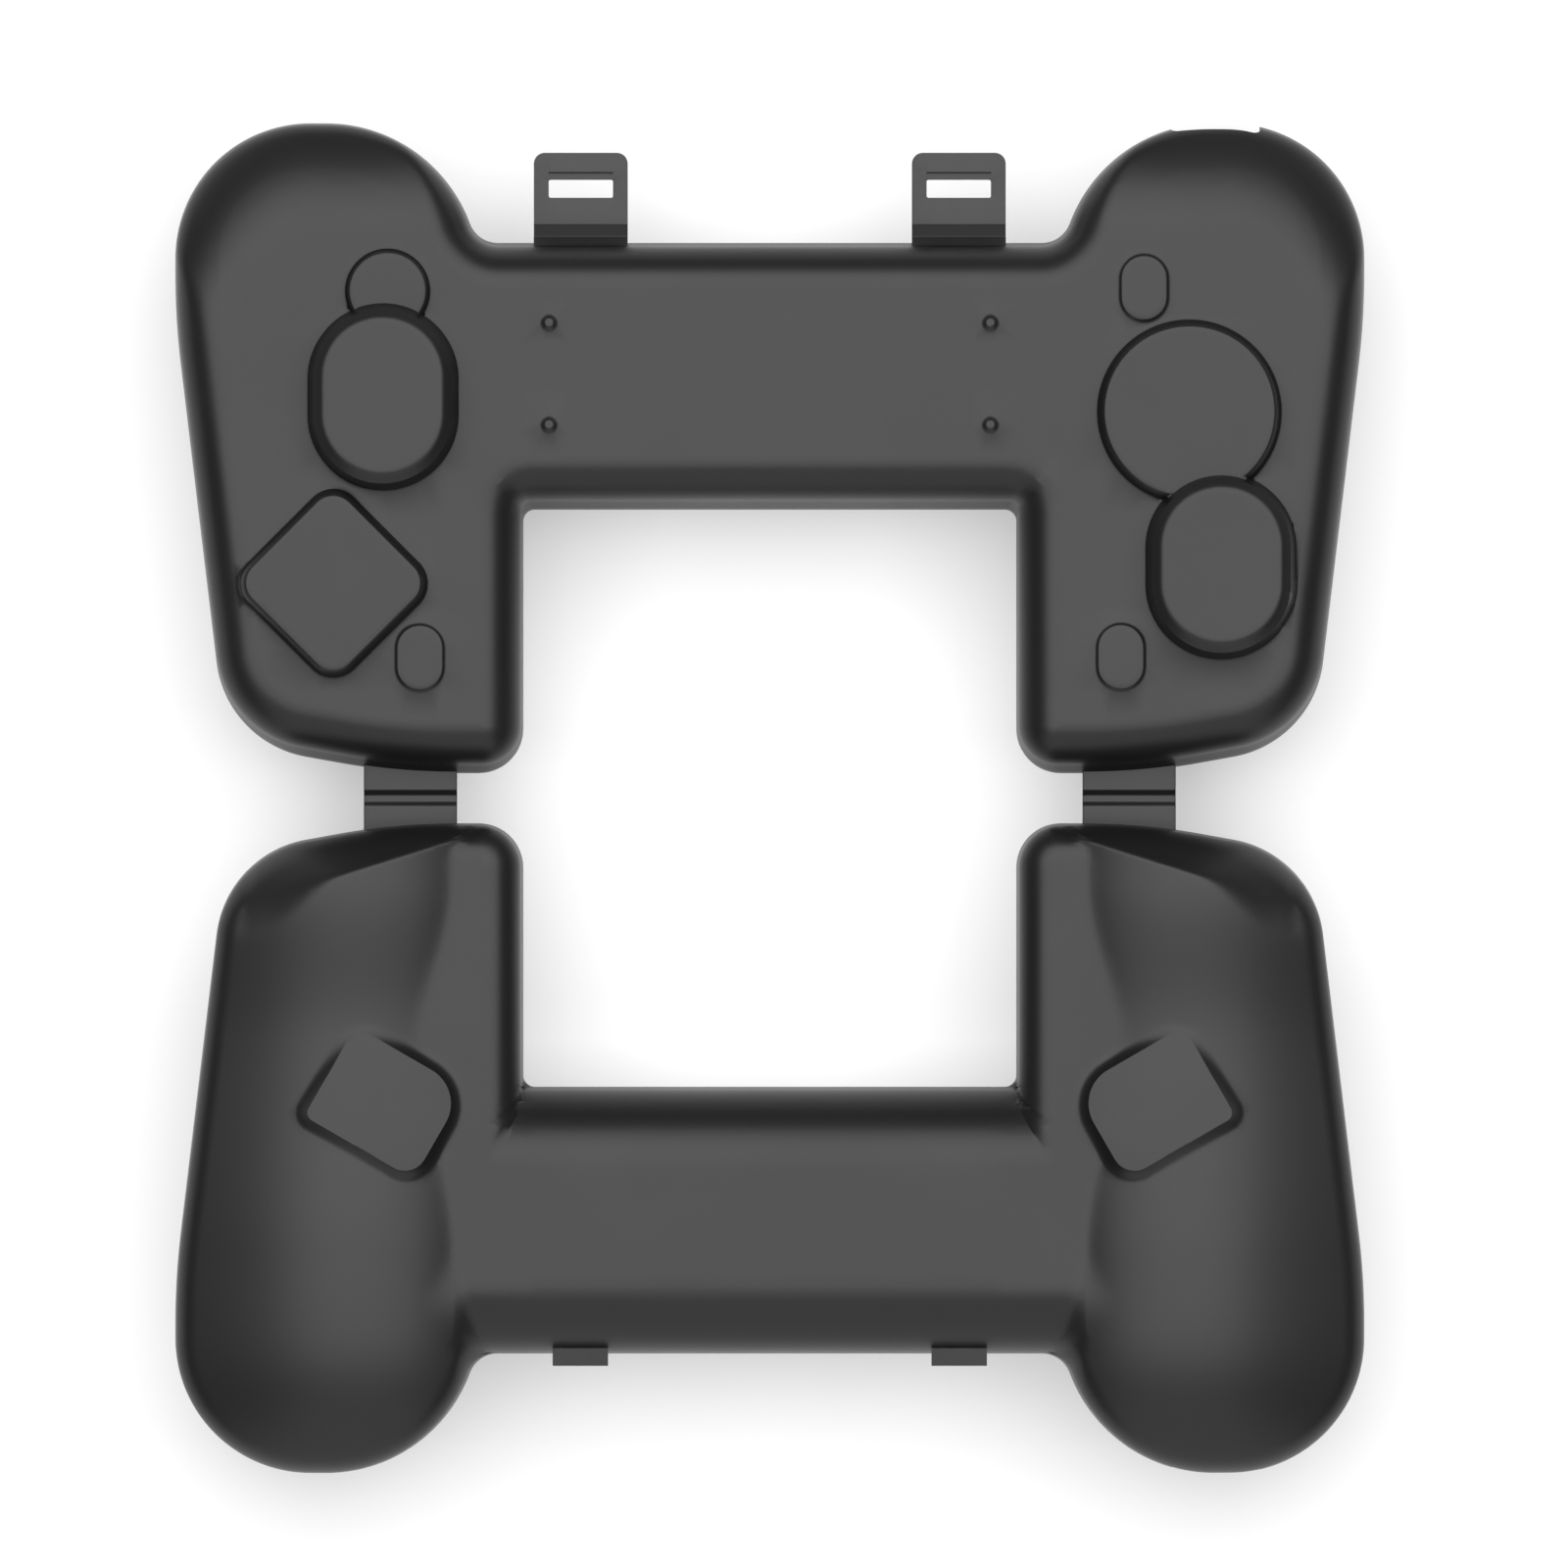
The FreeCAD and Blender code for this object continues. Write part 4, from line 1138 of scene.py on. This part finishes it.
@dataclass(frozen=True)
class MouldedFinish:
    """Satin moulded plastic with grain, slow mottling and a painted highlight that makes convex edges paler.
    """

    name: str
    colour: tuple[float, float, float]
    # Paler colour painted on convex edges as a painted highlight.
    edge_highlight_colour: tuple[float, float, float]
    roughness: float
    roughness_spread: float
    grain: float
    # Strength of the painted edge highlight.
    edge_highlight_amount: float
    bump: float = 0.12
    bump_distance: float = 0.00004
    sheen: float = 0.27

    def material(self, grain_group: bpy.types.ShaderNodeTree,
                 edge_highlight_group: bpy.types.ShaderNodeTree) -> bpy.types.Material:
        """Make the material.

        Args:
            grain_group: the MouldGrain group.
            edge_highlight_group: the group that gives the painted edge highlight.

        Returns:
            The material.
        """
        material = bpy.data.materials.new(self.name)
        material.use_nodes = True
        tree = material.node_tree
        shader = tree.nodes["Principled BSDF"]
        grain = tree.nodes.new("ShaderNodeGroup")
        grain.node_tree = grain_group
        grain.inputs["Grain"].default_value = self.grain
        # Painted highlight: the edge mask mixes the colour towards the paler edge_highlight_colour on convex
        # edges.
        edge = tree.nodes.new("ShaderNodeGroup")
        edge.node_tree = edge_highlight_group
        edge.inputs["Amount"].default_value = self.edge_highlight_amount
        colour = tree.nodes.new("ShaderNodeMix")
        colour.data_type = "RGBA"
        colour.inputs["A"].default_value = (*self.colour, 1.0)
        colour.inputs["B"].default_value = (*self.edge_highlight_colour, 1.0)
        tree.links.new(edge.outputs["Mask"], colour.inputs["Factor"])
        tree.links.new(colour.outputs["Result"], shader.inputs["Base Color"])
        rough = tree.nodes.new("ShaderNodeMapRange")
        rough.inputs["To Min"].default_value = self.roughness - self.roughness_spread
        rough.inputs["To Max"].default_value = self.roughness + self.roughness_spread
        tree.links.new(grain.outputs["Mottling"], rough.inputs["Value"])
        tree.links.new(rough.outputs["Result"], shader.inputs["Roughness"])
        shader.inputs["Specular IOR Level"].default_value = self.sheen
        bump = tree.nodes.new("ShaderNodeBump")
        bump.inputs["Strength"].default_value = self.bump
        bump.inputs["Distance"].default_value = self.bump_distance
        tree.links.new(grain.outputs["Height"], bump.inputs["Height"])
        tree.links.new(bump.outputs["Normal"], shader.inputs["Normal"])
        return material


# edge_highlight_colour and edge_highlight_amount give the painted highlight on convex edges.
SHELL_PLASTIC = MouldedFinish("shell_plastic", colour=(0.006, 0.006, 0.0064),
                              edge_highlight_colour=(0.015, 0.015, 0.0155), roughness=0.40, roughness_spread=0.01,
                              grain=1.0, edge_highlight_amount=0.5)
THIN_PLASTIC = MouldedFinish("thin_plastic", colour=(0.0065, 0.0065, 0.0069),
                             edge_highlight_colour=(0.017, 0.017, 0.0175), roughness=0.38, roughness_spread=0.01,
                             grain=0.6, edge_highlight_amount=0.5)


def dress(piece: bpy.types.Object, material: bpy.types.Material, body: str) -> None:
    """Give a piece its material, slot and body.

    Args:
        piece: the piece.
        material: its finish.
        body: the CAD body it moves with.
    """
    piece.data.materials.clear()
    piece.data.materials.append(material)
    if body:
        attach(piece, body)


@dataclass
class FoldingStrap:
    """Strap between the shells: two leaves and a thin film in a groove between them."""

    side: Side
    width: float = 14.5
    thick: float = 1.2
    film: float = 0.7
    film_half: float = 1.4
    bury: float = 0.6
    probes: int = 400
    edge: float = 0.12

    def build(self, plan: CoverOutline) -> bpy.types.Object:
        """Build the strap as one strip from shell to shell.

        Args:
            plan: outline of the shells.

        Returns:
            The object.
        """
        word = self.side.name.lower()
        low, high = box_mm("front_strap_" + word)
        middle = (low[0] + high[0]) / 2.0
        outline = plan.outline()
        columns = np.linspace(middle - self.width / 2.0, middle + self.width / 2.0, 13)
        shares = np.linspace(0.0, self.film_half * 1.05, 15)
        parts = MeshParts()
        ends = []
        for x in columns:
            probe = np.linspace(plan.shoulder_gap - 2.0, plan.shoulder_gap + 6.0, self.probes)
            reach = probe[np.argmax(outline.inside(np.full(self.probes, x), probe) > 0.0)]
            ends.append(reach + self.bury)
        rows = []
        for x, end in zip(columns, ends):
            out = np.concatenate([shares, np.linspace(self.film_half * 1.2, end, 6)])
            rows.append(np.concatenate([-out[:0:-1], out]))
        along = np.array(rows)
        rise = ease((np.abs(along) - self.film_half * 0.25) / (self.film_half * 0.75))
        tops = self.film + (self.thick - self.film) * rise
        count = along.shape[1]
        upper = np.stack([np.repeat(columns[:, None], count, 1), along, tops], 2)
        lower = upper.copy()
        lower[:, :, 2] = 0.0
        loops = []
        for grid in (upper, lower):
            faces = []
            for i in range(len(columns) - 1):
                for j in range(count - 1):
                    a = i * count + j
                    faces.append((a, a + 1, a + count + 1, a + count))
            parts.add(grid.reshape(-1, 3), faces)
            loops.append(np.concatenate([grid[0], grid[1:, -1], grid[-1, -2::-1], grid[-2:0:-1, 0]]))
        parts.add_loops(loops)
        piece = parts.build("folding_strap_" + word)
        bevel = piece.modifiers.new("edge", "BEVEL")
        bevel.width = self.edge * MM
        bevel.segments = 2
        bevel.limit_method = "ANGLE"
        bevel.angle_limit = math.radians(60.0)
        apply_modifiers(piece)
        smooth(piece, 45.0)
        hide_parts("front_strap_" + word, "rear_strap_" + word)
        return piece


def plate(name: str, outline: Outline, holes: Sequence[Outline], low: float, high: float,
          edge: float, extra: MeshParts) -> bpy.types.Object:
    """Flat plate with holes and finely rounded edges.

    Args:
        name: name of the object.
        outline: plan outline.
        holes: outlines of the holes.
        low: lower level.
        high: upper level.
        edge: radius of the rounded edges.
        extra: closed patches that belong to the same piece.

    Returns:
        The object.
    """
    loops = [outline.ring(0.0)] + [hole.ring(0.0) for hole in holes]
    points, edges = [], []
    for ring in loops:
        first = len(points)
        points.extend(map(tuple, ring))
        edges.extend((first + k, first + (k + 1) % len(ring)) for k in range(len(ring)))
    result = delaunay_2d_cdt([Vector(p) for p in points], edges, [], 1, TRIANGULATION_MM)
    flat = np.array([(v.x, v.y) for v in result[0]])
    faces = []
    for face in result[2]:
        centre = flat[list(face)].mean(0)
        if all(hole.inside(centre[:1], centre[1:])[0] < 0 for hole in holes):
            faces.append(tuple(face))
    parts = MeshParts()
    for level in (low, high):
        parts.add(np.column_stack([flat, np.full(len(flat), level)]), faces)
    for ring in loops:
        parts.add_loops([np.column_stack([ring, np.full(len(ring), level)]) for level in (low, high)])
    parts.add(np.concatenate(extra.points), extra.faces)
    piece = parts.build(name)
    bevel = piece.modifiers.new("edge", "BEVEL")
    bevel.width = edge * MM
    bevel.segments = 3
    bevel.limit_method = "ANGLE"
    bevel.angle_limit = math.radians(50.0)
    apply_modifiers(piece)
    smooth(piece, 50.0)
    return piece


@dataclass
class LatchRoot:
    """Fixed root of a latch tab: a hollow curve from the tab's level up the bar's rolled edge."""

    side: Side
    foot: float = 2.2
    into_bar: float = 2.2
    rise: float = 6.9
    even_share: float = 0.45
    curve: float = 4.0
    underside: float = 0.4

    def build(self, plan: CoverOutline) -> bpy.types.Object:
        """Build the root between the bar and the tab.

        Args:
            plan: outline of the shells.

        Returns:
            The object.
        """
        word = self.side.name.lower()
        low, high = box_mm("latch_root_" + word)
        share = np.linspace(0.0, 1.0, 22)
        run = high[1] - plan.bar_far + self.into_bar
        y = high[1] - run * share
        rise = self.even_share * share + (1.0 - self.even_share) * share ** self.curve
        ends = [(y[-1], low[2] + self.underside), (high[1], low[2])]
        profile = np.concatenate([np.column_stack([y, self.foot + self.rise * rise]), ends])
        parts = MeshParts()
        parts.add_prism(profile, low[0], high[0])
        piece = parts.build("latch_root_piece_" + word)
        smooth(piece, 40.0)
        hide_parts("latch_root_" + word)
        return piece


@dataclass
class LatchTab:
    """Flat latch tab with a slot, rounded tip corners, a lead-in beyond the slot and a rise at its root."""

    side: Side
    slot_width: float = 10.0
    slot_length: float = 2.8
    slot_at: float = 7.5
    tip_radius: float = 1.7
    ramp_run: float = 2.0
    ramp_rise: float = 1.0
    lead_length: float = 1.0
    lead_depth: float = 0.35
    lead_gap: float = 0.2
    overlap: float = 0.2
    ramp_aside: float = 0.02
    ramp_points: int = 14
    edge: float = 0.18
    root_radius: float = 0.05
    slot_radius: float = 0.3

    def build(self) -> bpy.types.Object:
        """Build the tab where its CAD node lies.

        Returns:
            The object.
        """
        word = self.side.name.lower()
        low, high = box_mm("latch_tab_" + word)
        middle = (low[0] + high[0]) / 2.0
        outline = Outline([
            Corner(low[0], high[1], self.tip_radius), Corner(high[0], high[1], self.tip_radius),
            Corner(high[0], low[1], self.root_radius), Corner(low[0], low[1], self.root_radius),
        ], step=0.4)
        half = self.slot_width / 2.0
        start = low[1] + self.slot_at - self.slot_length / 2.0
        end = start + self.slot_length
        slot = Outline([Corner(x, y, self.slot_radius) for x, y in (
            (middle - half, end), (middle + half, end), (middle + half, start), (middle - half, start))],
            step=0.3)
        foot, ramp_end = low[2] + self.overlap, low[1] + self.ramp_run
        share = np.linspace(0.0, 1.0, self.ramp_points)
        slope = np.column_stack([low[1] + self.ramp_run * share, high[2] + self.ramp_rise * (1.0 - share)])
        ramp = np.concatenate([slope, [(ramp_end, foot), (low[1], foot)]])
        extra = MeshParts()
        extra.add_prism(ramp, low[0] + self.ramp_aside, high[0] - self.ramp_aside)
        piece = plate("latch_tab_piece_" + word, outline, [slot], low[2], high[2], self.edge, extra)
        lead_start = end + self.lead_gap
        lead_end = lead_start + self.lead_length
        lead = np.array([(lead_start, high[2] + self.overlap), (lead_start, high[2]),
                         (lead_end, high[2] - self.lead_depth), (lead_end, high[2] + self.overlap)])
        wedge = MeshParts()
        wedge.add_prism(lead, middle - half, middle + half)
        cut_away(piece, wedge.build("lead_in_cutter_" + word))
        smooth(piece, 40.0)
        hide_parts("latch_tab_" + word)
        return piece


@dataclass(frozen=True)
class SoftLamp:
    """Rectangular soft lamp that faces the object and that the camera doesn't see."""

    name: str
    place: tuple[float, float, float]
    size: tuple[float, float]
    power: float

    def build(self) -> None:
        """Add the lamp to the scene."""
        light = bpy.data.lights.new(self.name, "AREA")
        light.shape = "RECTANGLE"
        light.size, light.size_y = self.size
        light.energy = self.power
        lamp = bpy.data.objects.new(self.name, light)
        lamp.location = self.place
        lamp.rotation_euler = Vector(self.place).to_track_quat("Z", "Y").to_euler()
        lamp.visible_camera = False
        bpy.context.scene.collection.objects.link(lamp)


@dataclass(frozen=True)
class Studio:
    """Pale floor, soft lamps, dim world and camera at the photo's view from straight above."""

    floor_level: float = -0.0225
    floor_reach: float = 6.0
    floor_grey: float = 0.42
    floor_roughness: float = 0.9
    floor_glow: float = 0.35
    camera_height: float = 3.0
    camera_sight: float = 20.0
    sensor: float = 36.0
    world_strength: float = 0.04
    lamps: tuple[SoftLamp, ...] = (
        SoftLamp("key", (0.0, 0.50, 1.79), (3.0, 2.3), 106.0),
        SoftLamp("near_fill", (0.0, -1.5, 0.87), (2.4, 2.1), 23.0),
    )

    def build(self) -> None:
        """Build the stage, lamps, world and camera."""
        self._floor()
        for lamp in self.lamps:
            lamp.build()
        self._world()
        self._camera()

    def _floor(self) -> None:
        """Pale floor that shows as white and keeps the object's shadow."""
        mesh = bpy.data.meshes.new("floor")
        reach = self.floor_reach
        corners = ((-reach, -reach), (reach, -reach), (reach, reach), (-reach, reach))
        mesh.from_pydata([(x, y, self.floor_level) for x, y in corners], [], [(0, 1, 2, 3)])
        floor = link("floor", mesh)
        material = bpy.data.materials.new("pale_floor")
        material.use_nodes = True
        tree = material.node_tree
        shader = tree.nodes["Principled BSDF"]
        shader.inputs["Base Color"].default_value = (*[self.floor_grey] * 3, 1.0)
        shader.inputs["Roughness"].default_value = self.floor_roughness
        shader.inputs["Emission Color"].default_value = (1.0, 1.0, 1.0, 1.0)
        rays = tree.nodes.new("ShaderNodeLightPath")
        seen = rays.outputs["Is Camera Ray"]
        for other in ("Is Glossy Ray", "Is Transmission Ray"):
            seen = calculate(tree, "MAXIMUM", seen, rays.outputs[other])
        glow = calculate(tree, "MULTIPLY", seen, self.floor_glow)
        tree.links.new(glow, shader.inputs["Emission Strength"])
        floor.data.materials.append(material)

    def _world(self) -> None:
        """Dim even grey."""
        world = bpy.data.worlds.new("studio")
        world.use_nodes = True
        bpy.context.scene.world = world
        ground = world.node_tree.nodes["Background"]
        ground.inputs["Color"].default_value = (1.0, 1.0, 1.0, 1.0)
        ground.inputs["Strength"].default_value = self.world_strength

    def _camera(self) -> None:
        """Long lens straight above, framed as the photo is."""
        data = bpy.data.cameras.new("camera")
        data.sensor_width = self.sensor
        data.lens = self.sensor * self.camera_height / (PHOTO_FRAME_MM * MM)
        data.clip_end = self.camera_sight
        camera = bpy.data.objects.new("camera", data)
        camera.location = (PHOTO_CENTRE_MM[0] * MM, PHOTO_CENTRE_MM[1] * MM, self.camera_height)
        bpy.context.scene.collection.objects.link(camera)
        bpy.context.scene.camera = camera


def main() -> None:
    """Build every piece in order and report it."""
    logging.basicConfig(level=logging.INFO, format="%(message)s")
    scene = bpy.context.scene
    scene.view_settings.view_transform = "Standard"
    Studio().build()
    low, high = box_mm("front_shell")
    plan = CoverOutline(half_width=float(high[0]), handle_end=float(high[1]))
    # edges holds the group of the painted edge highlight.
    grain, edges = mould_grain_group(), painted_edge_highlight_group()
    shell_plastic = SHELL_PLASTIC.material(grain, edges)
    thin_plastic = THIN_PLASTIC.material(grain, edges)
    for shell, body in ((FrontShell(plan), "front"), (RearShell(plan), "rear")):
        piece = shell.build()
        dress(piece, shell_plastic, body)
        log.info("%s: %d faces", piece.name, len(piece.data.polygons))
    for side in Side:
        strap = FoldingStrap(side).build(plan)
        dress(strap, thin_plastic, "")
        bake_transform(strap)
        root = LatchRoot(side).build(plan)
        dress(root, thin_plastic, "front")
        tab = LatchTab(side).build()
        dress(tab, thin_plastic, "latch_" + side.name.lower())
        log.info("%s, %s", strap.name, tab.name)
    for name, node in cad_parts.items():
        if name.startswith("catch"):
            node.data.materials.clear()
            node.data.materials.append(thin_plastic)


if __name__ == "__main__":
    main()
